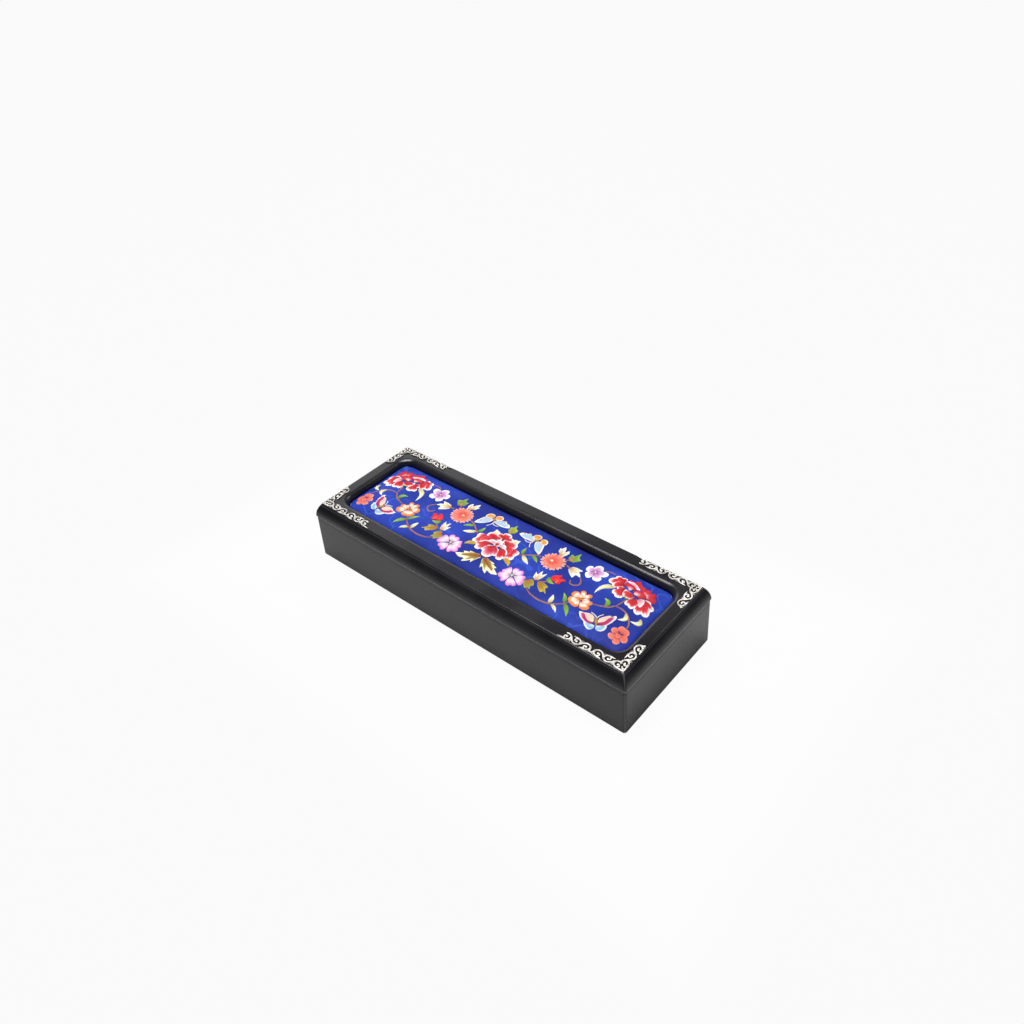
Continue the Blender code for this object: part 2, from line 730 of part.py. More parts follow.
def screw_profile():
    """A countersunk screw, from the middle of its head down to its point."""
    head = screw_head_height()
    return [
        (0, 0),
        (SCREW_HEAD_RADIUS, 0),
        (SCREW_SHANK_RADIUS, -head),
        (SCREW_SHANK_RADIUS, -SCREW_LENGTH + 2 * SCREW_SHANK_RADIUS),
        (0, -SCREW_LENGTH),
    ]


def make_screws(case, pivot):
    """Two countersunk screws in each leaf, head flush with the leaf."""
    for side, middle in hinge_places().items():
        for kind, sign, carrier in (("case", -1, None), ("lid", 1, pivot)):
            for number, offset in enumerate(screw_places(), start=1):
                screw = turned(f"{side}_hinge_{kind}_screw_{number}", screw_profile(), SCREW_SIDES, case)
                height = sign * (PARTING_GAP / 2 + GAP / 4)
                screw.location = (middle + offset, AXIS_Y - screw_line(), AXIS_Z + height)
                if sign > 0:
                    screw.rotation_euler = (math.pi, 0, 0)
                bpy.context.view_layer.update()
                apply_modifiers(screw)
                finish_node(shade_round(screw), "screw_brass", carrier)


def ribbon(points, widths):
    """The outline of a stroke that follows points and has a half width at each of them."""
    left = []
    right = []
    for index, point in enumerate(points):
        before = points[max(index - 1, 0)]
        after = points[min(index + 1, len(points) - 1)]
        along = (after - before).normalized()
        across = Vector((-along.y, along.x))
        left.append(point + across * widths[index])
        right.append(point - across * widths[index])
    return left + right[::-1]


def on_ring(centre, radius, angle, side):
    """A point of a scroll. Angle 0 looks along the run and 90 degrees is the side its stem passes."""
    return centre + radius * Vector((math.cos(angle), side * math.sin(angle)))


def scroll_strokes(centre, side, first_angle, reach):
    """One scroll: back over the stem's side, along the far edge, and in to the round eye, with its leaf."""
    turn = math.radians(330.0)
    count = round(turn / SCROLL_STEP)
    points = []
    widths = []
    for number in range(count + 1):
        part = number / count
        curl = max(0.0, (part - 0.6) / 0.4)
        radius = SCROLL_RADIUS * (1 - curl) + EYE_RADIUS * 0.4 * curl
        points.append(on_ring(centre, radius, first_angle + turn * part, side))
        widths.append(STEM_WIDTH * (0.5 - 0.12 * curl))
    eye = [
        points[-1] + EYE_RADIUS * Vector((math.cos(angle), math.sin(angle)))
        for angle in (2 * math.pi * number / EYE_SIDES for number in range(EYE_SIDES))
    ]
    edge = side * MOUNT_WIDTH / 2
    blade = [
        centre + Vector((-0.5 * SCROLL_RADIUS, -edge * 0.62)),
        centre + Vector((-0.4 * SCROLL_RADIUS, -edge)),
        centre + Vector((reach * 0.5, -edge)),
        centre + Vector((reach, -edge * 0.9)),
        centre + Vector((reach * 0.55, -edge * 0.62)),
    ]
    return [ribbon(points, widths), eye, blade]


def run_strokes():
    """One run of scrolls: u runs along it from its start, v across it from the outer edge."""
    middle = MOUNT_WIDTH / 2
    tangent = math.acos(min(2 * SCROLL_RADIUS / SCROLL_PITCH, 1.0))
    strokes = []
    stem_start = Vector((0, STEM_WIDTH))
    for number in range(SCROLLS_IN_RUN):
        side = 1 if number % 2 == 0 else -1
        centre = Vector((RUN_LEAD + number * SCROLL_PITCH, middle))
        reach = RUN_TAIL if number == SCROLLS_IN_RUN - 1 else BLADE_REACH
        strokes += scroll_strokes(centre, side, tangent, reach)
        stem_end = on_ring(centre, SCROLL_RADIUS, math.pi - tangent, side)
        strokes.append(ribbon([stem_start, stem_end], [STEM_WIDTH / 2] * 2))
        # A small spur fills the notch beside the stem.
        root = (stem_start + stem_end) / 2
        spur = Vector((root.x + STEM_WIDTH * 0.4, middle - side * middle))
        strokes.append(ribbon([root, spur], [STEM_WIDTH * 0.5, STEM_WIDTH * 0.15]))
        stem_start = on_ring(centre, SCROLL_RADIUS, tangent, side)
    return strokes


def mount_outlines():
    """All the outlines of a corner mount, with its corner at the origin and its long arm along +X."""
    run = run_strokes()
    outlines = [[Vector((RUN_LENGTH - point.x, point.y)) for point in stroke] for stroke in run]
    outlines += [[Vector((RUN_LENGTH + point.x, point.y)) for point in stroke] for stroke in run]
    outlines += [[Vector((point.y, RUN_LENGTH - point.x)) for point in stroke] for stroke in run]
    # The two last scrolls lean on a filled corner and make a heart with it.
    edge = STEM_WIDTH * 0.15
    shank = STEM_WIDTH * 0.9
    heart = [(edge, edge), (RUN_TAIL, edge), (RUN_TAIL, shank), (RUN_TAIL * 0.62, RUN_TAIL * 0.62)]
    heart += [(shank, RUN_TAIL), (edge, RUN_TAIL)]
    outlines.append([Vector(point) for point in heart])
    return outlines


def corner_mount(name, collection):
    """One pierced mount: the strokes are merged in the plane and given the metal's thickness."""
    verts = []
    faces = []
    for stroke in mount_outlines():
        area = sum(a.cross(b) for a, b in zip(stroke, stroke[1:] + stroke[:1]))
        ordered = stroke if area > 0 else stroke[::-1]
        faces.append(list(range(len(verts), len(verts) + len(ordered))))
        verts += ordered
    points, _, triangles, _, _, owners = delaunay_2d_cdt(verts, [], faces, 1, 1e-6)
    bm = bmesh.new()
    made = [bm.verts.new((point.x, point.y, 0)) for point in points]
    for triangle, owner in zip(triangles, owners):
        if owner:
            bm.faces.new([made[index] for index in triangle])
    loose = [vert for vert in bm.verts if not vert.link_faces]
    bmesh.ops.delete(bm, geom=loose, context="VERTS")
    extruded = bmesh.ops.extrude_face_region(bm, geom=bm.faces[:])
    moved = [item for item in extruded["geom"] if isinstance(item, bmesh.types.BMVert)]
    bmesh.ops.translate(bm, verts=moved, vec=(0, 0, MOUNT_THICKNESS))
    return object_from(bm, name, collection)


def make_corner_mounts(case, pivot):
    """Four mounts, mirrored to the corners of the flat top."""
    pattern = corner_mount("corner_mount_pattern", case)
    for end, side_x in (("left", -1), ("right", 1)):
        for face, side_y in (("front", -1), ("back", 1)):
            mesh = pattern.data.copy()
            bm = bmesh.new()
            bm.from_mesh(mesh)
            bmesh.ops.scale(bm, vec=(-side_x, -side_y, 1), verts=bm.verts)
            mount = object_from(bm, f"{face}_{end}_corner_mount", case)
            mount.location = (
                side_x * (TOP_X - MOUNT_MARGIN), side_y * (TOP_Y - MOUNT_MARGIN), LID_TOP + GAP
            )
            bpy.context.view_layer.update()
            finish_node(mount, "silver", pivot)
    bpy.data.objects.remove(pattern, do_unlink=True)


def main():
    """Builds the whole case, closed."""
    clear_scene()
    case = new_collection("pen_case")
    cutters = new_collection("cutters")
    pivot = bpy.data.objects.new("lid_pivot", None)
    pivot.location = (0, AXIS_Y, AXIS_Z)
    case.objects.link(pivot)
    bpy.context.view_layer.update()
    groove = back_groove(cutters)
    mortises = mortise_cutters(cutters)
    make_carcass(case, cutters, groove, mortises)
    make_linings(case)
    make_lid(case, pivot, groove, mortises)
    make_panel(case, pivot)
    make_hinges(case, pivot, cutters)
    make_screws(case, pivot)
    make_corner_mounts(case, pivot)


main()
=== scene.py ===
"""Looks of a hinged pen case: black lacquer, pierced silver mounts and an embroidered panel."""

import logging
import math
from dataclasses import dataclass, field
from enum import Enum
from typing import Callable, Iterable, Sequence, Union

import bmesh
import bpy
from mathutils import Matrix, Vector

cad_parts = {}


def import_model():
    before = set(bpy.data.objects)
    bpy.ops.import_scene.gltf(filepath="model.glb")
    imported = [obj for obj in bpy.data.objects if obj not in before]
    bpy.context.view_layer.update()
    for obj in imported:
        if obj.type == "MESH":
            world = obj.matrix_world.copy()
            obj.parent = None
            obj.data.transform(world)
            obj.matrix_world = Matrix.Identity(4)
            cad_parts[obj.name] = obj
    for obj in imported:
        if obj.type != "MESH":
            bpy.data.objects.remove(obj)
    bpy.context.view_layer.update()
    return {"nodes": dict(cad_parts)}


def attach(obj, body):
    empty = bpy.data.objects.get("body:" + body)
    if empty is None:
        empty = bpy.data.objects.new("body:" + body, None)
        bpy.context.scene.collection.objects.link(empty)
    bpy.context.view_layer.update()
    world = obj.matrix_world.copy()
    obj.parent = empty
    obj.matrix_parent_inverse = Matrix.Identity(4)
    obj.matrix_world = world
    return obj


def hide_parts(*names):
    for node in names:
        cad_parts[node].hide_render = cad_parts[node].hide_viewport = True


LOG = logging.getLogger("pen_case")
MM = 0.001
Object = bpy.types.Object
Material = bpy.types.Material
BMesh = bmesh.types.BMesh
BMFace = bmesh.types.BMFace
BMEdge = bmesh.types.BMEdge
BMVert = bmesh.types.BMVert
Colour = tuple[float, float, float]
Point = tuple[float, float]
Place = tuple[float, float, float]
Stroke = tuple[list[Vector], list[float]]
Value = Union["Field", int, float]


def tint(*display: int) -> Colour:
    """The linear colour that a shader takes, from 0 to 255 display values."""
    parts = (value / 255 for value in display)
    return tuple(p / 12.92 if p <= 0.04045 else ((p + 0.055) / 1.055) ** 2.4 for p in parts)


def blend_colours(first: Colour, second: Colour, share: float) -> Colour:
    """The colour that lies a share of the way from the first to the second."""
    share = min(max(share, 0.0), 1.0)
    return tuple(a + (b - a) * share for a, b in zip(first, second))


def bent(start: Vector, end: Vector, leave: Vector, arrive: Vector, part: float) -> Vector:
    """A point of a bent line.

    Args:
        start: where the line starts.
        end: where it ends.
        leave: its direction at the start, longer for a fuller bend.
        arrive: its direction at the end.
        part: how far along it the point lies, from 0 to 1.

    Returns:
        The point.
    """
    square, cube = part * part, part ** 3
    return (
        start * (2 * cube - 3 * square + 1) + leave * (cube - 2 * square + part)
        + end * (3 * square - 2 * cube) + arrive * (cube - square)
    )


BLACK = tint(0, 0, 0)
WHITE = tint(255, 255, 255)
SIDES = ("front", "back", "left", "right")
CORNER_STEPS = 10
BARREL_STEPS = 32


class Body(Enum):
    """The two rigid bodies of the case."""

    CASE = "case"
    LID = "lid"


class Slot(Enum):
    """The material slots of the record."""

    LACQUER = "lacquered_wood"
    SILVER = "silver_mount"
    SATIN = "satin"


# ---------------------------------------------------------------- materials


class Field:
    """An output socket of a shader that Python's operators work on."""

    def __init__(self, shader: "Shader", socket: bpy.types.NodeSocket) -> None:
        """Keeps the shader and the socket."""
        self.shader = shader
        self.socket = socket

    def maths(self, operation: str, *values: Value) -> "Field":
        """Adds a Math node.

        Args:
            operation: the Math node's operation.
            values: its inputs, in order.

        Returns:
            The node's result.
        """
        return self.shader.node("ShaderNodeMath", {"operation": operation}, dict(enumerate(values)))

    def __add__(self, other: Value) -> "Field":
        """self + other."""
        return self.maths("ADD", self, other)

    __radd__ = __add__

    def __sub__(self, other: Value) -> "Field":
        """self - other."""
        return self.maths("SUBTRACT", self, other)

    def __rsub__(self, other: Value) -> "Field":
        """other - self."""
        return self.maths("SUBTRACT", other, self)

    def __mul__(self, other: Value) -> "Field":
        """self * other."""
        return self.maths("MULTIPLY", self, other)

    __rmul__ = __mul__

    def sine(self) -> "Field":
        """The sine of self."""
        return self.maths("SINE", self)

    def size(self) -> "Field":
        """The absolute value of self."""
        return self.maths("ABSOLUTE", self)

    def larger(self, other: Value) -> "Field":
        """The larger of self and other."""
        return self.maths("MAXIMUM", self, other)

    def step(self, low: float, high: float) -> "Field":
        """Self taken smoothly from 0 at low to 1 at high."""
        values = {0: self, 1: low, 2: high, 3: 0.0, 4: 1.0}
        return self.shader.node("ShaderNodeMapRange", {"interpolation_type": "SMOOTHSTEP"}, values)

    def between(self, low: Union["Field", Colour], high: Union["Field", Colour]) -> "Field":
        """The colour between two others, with self as the share of the second."""
        settings = {"data_type": "RGBA", "clamp_factor": True}
        return self.shader.node("ShaderNodeMix", settings, {0: self, 6: low, 7: high}, output=2)


class Shader:
    """A material under construction, around one Principled BSDF."""

    def __init__(self, name: str, **constants: Union[float, Colour]) -> None:
        """Starts a material.

        Args:
            name: the material's name.
            constants: values set on the shader's own sockets, with _ for a space.
        """
        self.material = bpy.data.materials.new(name)
        self.material.use_nodes = True
        self.tree = self.material.node_tree
        self.surface = self.tree.nodes["Principled BSDF"]
        for key, value in constants.items():
            socket = self.surface.inputs[key.replace("_", " ")]
            socket.default_value = (*value, 1.0) if isinstance(value, tuple) else value

    def node(
        self, kind: str, settings: dict | None = None, values: dict | None = None,
        output: int | str = 0,
    ) -> Field:
        """Adds any node.

        Args:
            kind: the node's type.
            settings: its settings, which are set first.
            values: what goes into its sockets, by number or name, as links or values.
            output: which output to return.

        Returns:
            That output.
        """
        made = self.tree.nodes.new(kind)
        for key, value in (settings or {}).items():
            setattr(made, key, value)
        for key, value in (values or {}).items():
            socket = made.inputs[key]
            if isinstance(value, Field):
                self.tree.links.new(value.socket, socket)
            elif isinstance(value, tuple) and socket.type == "RGBA":
                socket.default_value = (*value, 1.0)
            else:
                socket.default_value = value
        return Field(self, made.outputs[output])

    def place(self) -> Field:
        """The Object coordinates."""
        return self.node("ShaderNodeTexCoord", output="Object")

    def stretched(self, scale: Place, source: Field | None = None) -> Field:
        """Coordinates scaled along each axis, which draws a pattern finer along it."""
        values = {"Vector": source or self.place(), "Scale": scale}
        return self.node("ShaderNodeMapping", {}, values)

    def noise(self, scale: float = 1.0, detail: float = 3.0, source: Field | None = None) -> Field:
        """Cloudy variation around a half."""
        values = {"Vector": source or self.place(), "Scale": scale, "Detail": detail}
        return self.node("ShaderNodeTexNoise", {}, values)

    def part(self, source: Field, axis: int) -> Field:
        """One component of a vector."""
        return self.node("ShaderNodeSeparateXYZ", {}, {0: source}, output=axis)

    def feed(self, **links: Field) -> None:
        """Links fields to the shader's inputs, with _ for a space."""
        for key, value in links.items():
            self.tree.links.new(value.socket, self.surface.inputs[key.replace("_", " ")])

    def bump(self, height: Field, strength: float, distance: float) -> None:
        """Raises the surface by a height, as a Bump node into Normal."""
        values = {"Height": height, "Strength": strength, "Distance": distance}
        self.feed(Normal=self.node("ShaderNodeBump", {}, values))


@dataclass(frozen=True)
class Lacquer:
    """Black lacquer rubbed to a soft gloss."""

    colour: Colour = tint(25, 24, 28)
    lint: Colour = tint(58, 57, 62)
    # The next two colours are painted highlights for the lines along mitres, ridge and lip.
    worn: Colour = tint(84, 83, 88)
    lip_highlight: Colour = tint(160, 157, 160)
    roughness: float = 0.27
    mitre: float = 74.5 * MM
    highlight_from: float = 108.0 * MM
    lip_level: float = 31.3 * MM
    flat_edge: float = 112.2 * MM
    flat_level: float = 38.6 * MM

    def painted_edge_highlights(self, shader: Shader, colour: Field) -> Field:
        """Paints highlight lines into a colour along mitres, lip and ridge.

        Args:
            shader: the lacquer's shader.
            colour: the lacquer's colour elsewhere.

        Returns:
            The colour with its painted highlight lines.
        """
        at = shader.place()
        along, across = (shader.part(at, axis).size() for axis in (0, 1))
        level = shader.part(at, 2)
        # Masks of the painted highlight lines: mitres near the corners, the lip, and the ridge
        # round the flat top.
        mitre = 1.0 - (along - across - self.mitre).size().step(0.15 * MM, 0.75 * MM)
        mitre = mitre * along.step(self.highlight_from, self.highlight_from + 3 * MM)
        lip = 1.0 - (level - self.lip_level).size().step(0.22 * MM, 0.38 * MM)
        out = (along - self.flat_edge).larger(across + (self.mitre - self.flat_edge))
        ridge = 1.0 - out.size().step(0.1 * MM, 0.6 * MM)
        ridge = ridge * level.step(self.flat_level, self.flat_level + 0.2 * MM)
        worn = mitre.larger(ridge * 0.35).between(colour, self.worn)
        return lip.between(worn, self.lip_highlight)

    def make(self) -> Material:
        """Slow clouds of rubbing, a fine orange peel and a little lint caught in the lacquer.

        Returns:
            The material.
        """
        shader = Shader(
            "black_lacquer", IOR=1.5, Coat_Roughness=0.2, Coat_Weight=0.1,
            Specular_Tint=(0.98, 0.95, 1.0),
        )
        cloud = shader.noise(scale=34.0, detail=4.0)
        lint = shader.noise(scale=2600.0, detail=2.0).step(0.68, 0.8)
        peel = shader.noise(scale=1500.0, detail=2.0)
        dark = blend_colours(self.colour, BLACK, 0.22)
        light = blend_colours(self.colour, WHITE, 0.006)
        speckled = (lint * 0.5).between(cloud.step(0.3, 0.72).between(dark, light), self.lint)
        # The base colour carries painted highlight lines along mitres, lip and ridge.
        shader.feed(
            Base_Color=self.painted_edge_highlights(shader, speckled),
            Roughness=cloud * 0.14 + lint * 0.08 + (self.roughness - 0.07),
        )
        shader.bump(peel * 0.7 + cloud * 0.3, strength=0.1, distance=0.1 * MM)
        return shader.material


@dataclass(frozen=True)
class Satin:
    """Royal blue satin with a faint, tone on tone figure of curling clouds."""

    colour: Colour = tint(43, 67, 174)
    figure: Colour = tint(62, 96, 206)
    shade: Colour = tint(29, 44, 132)
    thread: float = 0.35 * MM

    def make(self) -> Material:
        """Weft faced weave, with the cloud figure woven the other way.

        Returns:
            The material.
        """
        shader = Shader(
            "blue_satin", IOR=1.45, Specular_IOR_Level=0.13, Sheen_Weight=0.03,
            Sheen_Roughness=0.35,
        )
        at = shader.place()
        rings = (shader.noise(scale=62.0, detail=1.5) * 46.0).sine().step(0.72, 0.92)
        figure = rings * shader.noise(scale=26.0, detail=1.0).step(0.5, 0.6)
        slant = shader.part(at, 0) * 900.0
        weft = (shader.part(at, 1) * (2 * math.pi / self.thread) + slant).sine() * 0.5 + 0.5
        drift = shader.noise(scale=30.0, detail=3.0)
        base = drift.step(0.3, 0.7).between(self.shade, self.colour)
        shader.feed(
            Base_Color=(figure * 0.5).between(base, self.figure),
            Roughness=0.46 - figure * 0.1 + drift * 0.06,
        )
        slub = shader.noise(detail=3.0, source=shader.stretched((220.0, 2600.0, 800.0)))
        shader.bump(weft * 0.5 + slub * 0.7 + figure * 0.4, strength=0.22, distance=0.08 * MM)
        return shader.material


@dataclass(frozen=True)
class Pile:
    """Velvet or felt: short fibres over a soft colour."""

    name: str
    colour: Colour
    light: Colour
    sheen: float
    fibre: float

    def make(self) -> Material:
        """Fibres as fine noise, and brushed patches as slow noise.

        Returns:
            The material.
        """
        shader = Shader(
            self.name, Sheen_Weight=self.sheen, Sheen_Roughness=0.4, Sheen_Tint=self.light
        )
        nap = shader.noise(scale=90.0, detail=4.0)
        fibre = shader.noise(scale=self.fibre, detail=3.0)
        shader.feed(
            Base_Color=(nap * 0.35 + fibre * 0.65).step(0.2, 0.8).between(self.colour, self.light),
            Roughness=0.85 + fibre * 0.12,
        )
        shader.bump(fibre, strength=0.6, distance=0.3 * MM)
        return shader.material


@dataclass(frozen=True)
class Metal:
    """A plated or polished metal with fine brushing and a little tarnish."""

    name: str
    bright: Colour
    tarnish: Colour
    roughness: float

    def make(self) -> Material:
        """Tarnish gathers in slow patches, and the brushing runs both ways.

        Returns:
            The material.
        """
        shader = Shader(self.name, Metallic=1.0)
        patch = shader.noise(scale=160.0, detail=4.0)
        brush = shader.noise(detail=3.0, source=shader.stretched((700.0, 5000.0, 3000.0)))
        clean = (patch * 0.7 + brush * 0.3).step(0.35, 0.62)
        shader.feed(
            Base_Color=clean.between(self.tarnish, self.bright),
            Roughness=patch * 0.14 + brush * 0.1 + (self.roughness - 0.1),
        )
        shader.bump(brush * 0.5 + patch * 0.5, strength=0.15, distance=0.08 * MM)
        return shader.material


@dataclass(frozen=True)
class PlainWood:
    """The unlacquered bottom board."""

    pale: Colour = tint(176, 140, 98)
    dark: Colour = tint(128, 92, 58)

    def make(self) -> Material:
        """Long grain with pores.

        Returns:
            The material.
        """
        shader = Shader("bottom_board_wood")
        grain = shader.noise(detail=6.0, source=shader.stretched((14.0, 260.0, 260.0)))
        pores = shader.noise(detail=2.0, source=shader.stretched((90.0, 2400.0, 2400.0)))
        shader.feed(
            Base_Color=(grain * 0.75 + pores * 0.25).step(0.32, 0.68).between(self.dark, self.pale),
            Roughness=0.6 + pores * 0.2,
        )
        shader.bump(grain * 0.4 + pores * 0.6, strength=0.3, distance=0.2 * MM)
        return shader.material


@dataclass(frozen=True)
class Card:
    """Grey board under the panel."""

    colour: Colour = tint(178, 172, 160)

    def make(self) -> Material:
        """Pressed fibres.

        Returns:
            The material.
        """
        shader = Shader("grey_board")
        fibre = shader.noise(scale=900.0, detail=4.0)
        dark = blend_colours(self.colour, BLACK, 0.3)
        shader.feed(
            Base_Color=fibre.step(0.3, 0.7).between(dark, self.colour),
            Roughness=0.8 + fibre * 0.15,
        )
        shader.bump(fibre, strength=0.3, distance=0.2 * MM)
        return shader.material


@dataclass(frozen=True)
class Silk:
    """Satin stitch: the colour comes with the mesh and the threads follow its own map."""

    thread: float = 0.34 * MM

    def make(self) -> Material:
        """Threads side by side across the map, each a little lighter or darker, with painted shade
        in the grooves between them.

        Returns:
            The material.
        """
        shader = Shader(
            "embroidery_silk", Specular_IOR_Level=0.35, Sheen_Weight=0.06, Sheen_Roughness=0.3
        )
        dye = shader.node("ShaderNodeAttribute", {"attribute_name": "dye"}, output="Color")
        at = shader.node("ShaderNodeTexCoord", output="UV")
        ridge = (shader.part(at, 0) * (2 * math.pi / self.thread)).sine().size()
        strand = shader.noise(detail=2.0, source=shader.stretched((2200.0, 90.0, 1.0), at))
        # Colour: a random tone for each strand, plus painted shade in the grooves between threads
        # and a lighter crest on each.
        share = (strand * 0.75 + ridge * 0.25).step(0.25, 0.8)
        settings = {"data_type": "RGBA", "blend_type": "MULTIPLY"}
        strand_tone_and_groove_shade = share.between((0.74, 0.72, 0.72), (1.12, 1.12, 1.12))
        shader.feed(
            Base_Color=shader.node("ShaderNodeMix", settings, {0: 1.0, 6: dye, 7: strand_tone_and_groove_shade}, output=2),
            Roughness=0.52 - ridge * 0.12,
        )
        shader.bump(ridge * 0.8 + strand * 0.5, strength=0.5, distance=0.12 * MM)
        return shader.material


# ---------------------------------------------------------------- helpers for meshes


def add_object(name: str, data: bpy.types.ID) -> Object:
    """Puts an object in the scene.

    Args:
        name: its name.
        data: its mesh, curve, lamp or camera.

    Returns:
        The object, at the origin.
    """
    made = bpy.data.objects.new(name, data)
    bpy.context.scene.collection.objects.link(made)
    return made


def mesh_object(bm: BMesh, name: str, *materials: Material) -> Object:
    """Turns a bmesh into an object.

    Args:
        bm: the shape, which is freed.
        name: the object's name.
        materials: its finishes.

    Returns:
        The object, at the origin.
    """
    mesh = bpy.data.meshes.new(name)
    bm.to_mesh(mesh)
    bm.free()
    for material in materials:
        mesh.materials.append(material)
    return add_object(name, mesh)


def new_piece(bm: BMesh, name: str, material: Material, smooth: float) -> Object:
    """Turns a bmesh into a piece of the case.

    Args:
        bm: the shape, which is freed.
        name: the piece's name.
        material: its finish.
        smooth: the largest angle, in degrees, that is shaded smooth.

    Returns:
        The object, at the origin.
    """
    bmesh.ops.recalc_face_normals(bm, faces=bm.faces)
    piece = mesh_object(bm, name, material)
    piece.data.shade_smooth()
    piece.data.set_sharp_from_angle(angle=math.radians(smooth))
    return piece


def even_shading(piece: Object) -> None:
    """Lets large faces decide the shading beside narrow bevels, so that they look flat.

    Args:
        piece: the piece that gets the modifier.
    """
    modifier = piece.modifiers.new("even_shading", "WEIGHTED_NORMAL")
    modifier.keep_sharp = True
    modifier.weight = 90


def settle(piece: Object, body: Body, slot: Slot, *nodes: str) -> Object:
    """Lets a piece ride on a body and stand for CAD nodes.

    Args:
        piece: the new piece.
        body: the body that carries it.
        slot: not used.
        nodes: the CAD nodes that it replaces.

    Returns:
        The piece.
    """
    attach(piece, body.value)
    if nodes:
        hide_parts(*nodes)
    LOG.info("%s: %d faces", piece.name, len(piece.data.polygons))
    return piece


def bevel(bm: BMesh, geom: Sequence, offset: float, segments: int, affect: str = "EDGES") -> None:
    """Rounds edges, or corners.

    Args:
        bm: the mesh.
        geom: the edges or corners.
        offset: how far the rounding reaches.
        segments: how many steps it has.
        affect: EDGES or VERTICES.
    """
    bmesh.ops.bevel(
        bm, geom=geom, offset=offset, offset_type="OFFSET", segments=segments, profile=0.5,
        affect=affect, material=-1,
    )


def plate(bm: BMesh, half: Point, radius: float, height: float) -> BMFace:
    """Adds a flat rectangle with rounded corners.

    Args:
        bm: where it goes.
        half: half its length and half its width.
        radius: its corner radius.
        height: its level.

    Returns:
        Its one face, which looks up.
    """
    before = set(bm.faces)
    made = bmesh.ops.create_grid(bm, x_segments=1, y_segments=1, size=1.0)["verts"]
    bmesh.ops.scale(bm, vec=(half[0], half[1], 1.0), verts=made)
    bmesh.ops.translate(bm, vec=(0, 0, height), verts=made)
    bevel(bm, made, radius, CORNER_STEPS, "VERTICES")
    return next(face for face in bm.faces if face not in before)


def step_in(bm: BMesh, face: BMFace, steps: Iterable[Point]) -> None:
    """Insets a face again and again.

    Args:
        bm: the mesh.
        face: the face, which keeps its place at the middle.
        steps: (inwards, upwards) distances.
    """
    for inward, upward in steps:
        bmesh.ops.inset_region(
            bm, faces=[face], thickness=inward, depth=upward, use_boundary=True,
            use_even_offset=True,
        )


def lift(bm: BMesh, face: BMFace, height: float) -> BMFace:
    """Extrudes a face straight up or down.

    Args:
        bm: the mesh.
        face: the face, which is gone afterwards.
        height: how far it goes up, or down if below zero.

    Returns:
        The face at the new level.
    """
    made = bmesh.ops.extrude_face_region(bm, geom=[face])["geom"]
    verts = [item for item in made if isinstance(item, BMVert)]
    bmesh.ops.translate(bm, vec=(0, 0, height), verts=verts)
    if face.is_valid:
        bmesh.ops.delete(bm, geom=[face], context="FACES_ONLY")
    return next(item for item in made if isinstance(item, BMFace))


def cut_by(piece: Object, cutters: Sequence[Object]) -> None:
    """Cuts a piece by other objects, applies the result and removes the cutters.

    Args:
        piece: the piece that is cut.
        cutters: closed shapes.
    """
    for cutter in cutters:
        modifier = piece.modifiers.new(cutter.name, "BOOLEAN")
        modifier.operation = "DIFFERENCE"
        modifier.solver = "EXACT"
        modifier.object = cutter
    graph = bpy.context.evaluated_depsgraph_get()
    mesh = bpy.data.meshes.new_from_object(piece.evaluated_get(graph))
    piece.modifiers.clear()
    piece.data = mesh
    for cutter in cutters:
        bpy.data.objects.remove(cutter, do_unlink=True)


def block(low: Place, high: Place) -> Object:
    """A box used as a cutter, with its place in its mesh.

    Args:
        low: its corner with the smallest coordinates.
        high: the opposite corner.

    Returns:
        The cutter.
    """
    bm = bmesh.new()
    bmesh.ops.create_cube(bm, size=1.0)
    bmesh.ops.scale(bm, vec=Vector(high) - Vector(low), verts=bm.verts)
    bmesh.ops.translate(bm, vec=(Vector(low) + Vector(high)) / 2, verts=bm.verts)
    return mesh_object(bm, "block_cutter")


def barrel(centre: Place, radius: float, length: float) -> Object:
    """A cylinder along the case, used as a cutter.

    Args:
        centre: its middle.
        radius: its radius.
        length: its length.

    Returns:
        The cutter.
    """
    bm = bmesh.new()
    bmesh.ops.create_cone(
        bm, cap_ends=True, segments=BARREL_STEPS, radius1=radius, radius2=radius, depth=length,
        matrix=Matrix.Translation(centre) @ Matrix.Rotation(math.pi / 2, 4, "Y"),
    )
    return mesh_object(bm, "barrel_cutter")


# ---------------------------------------------------------------- the wood


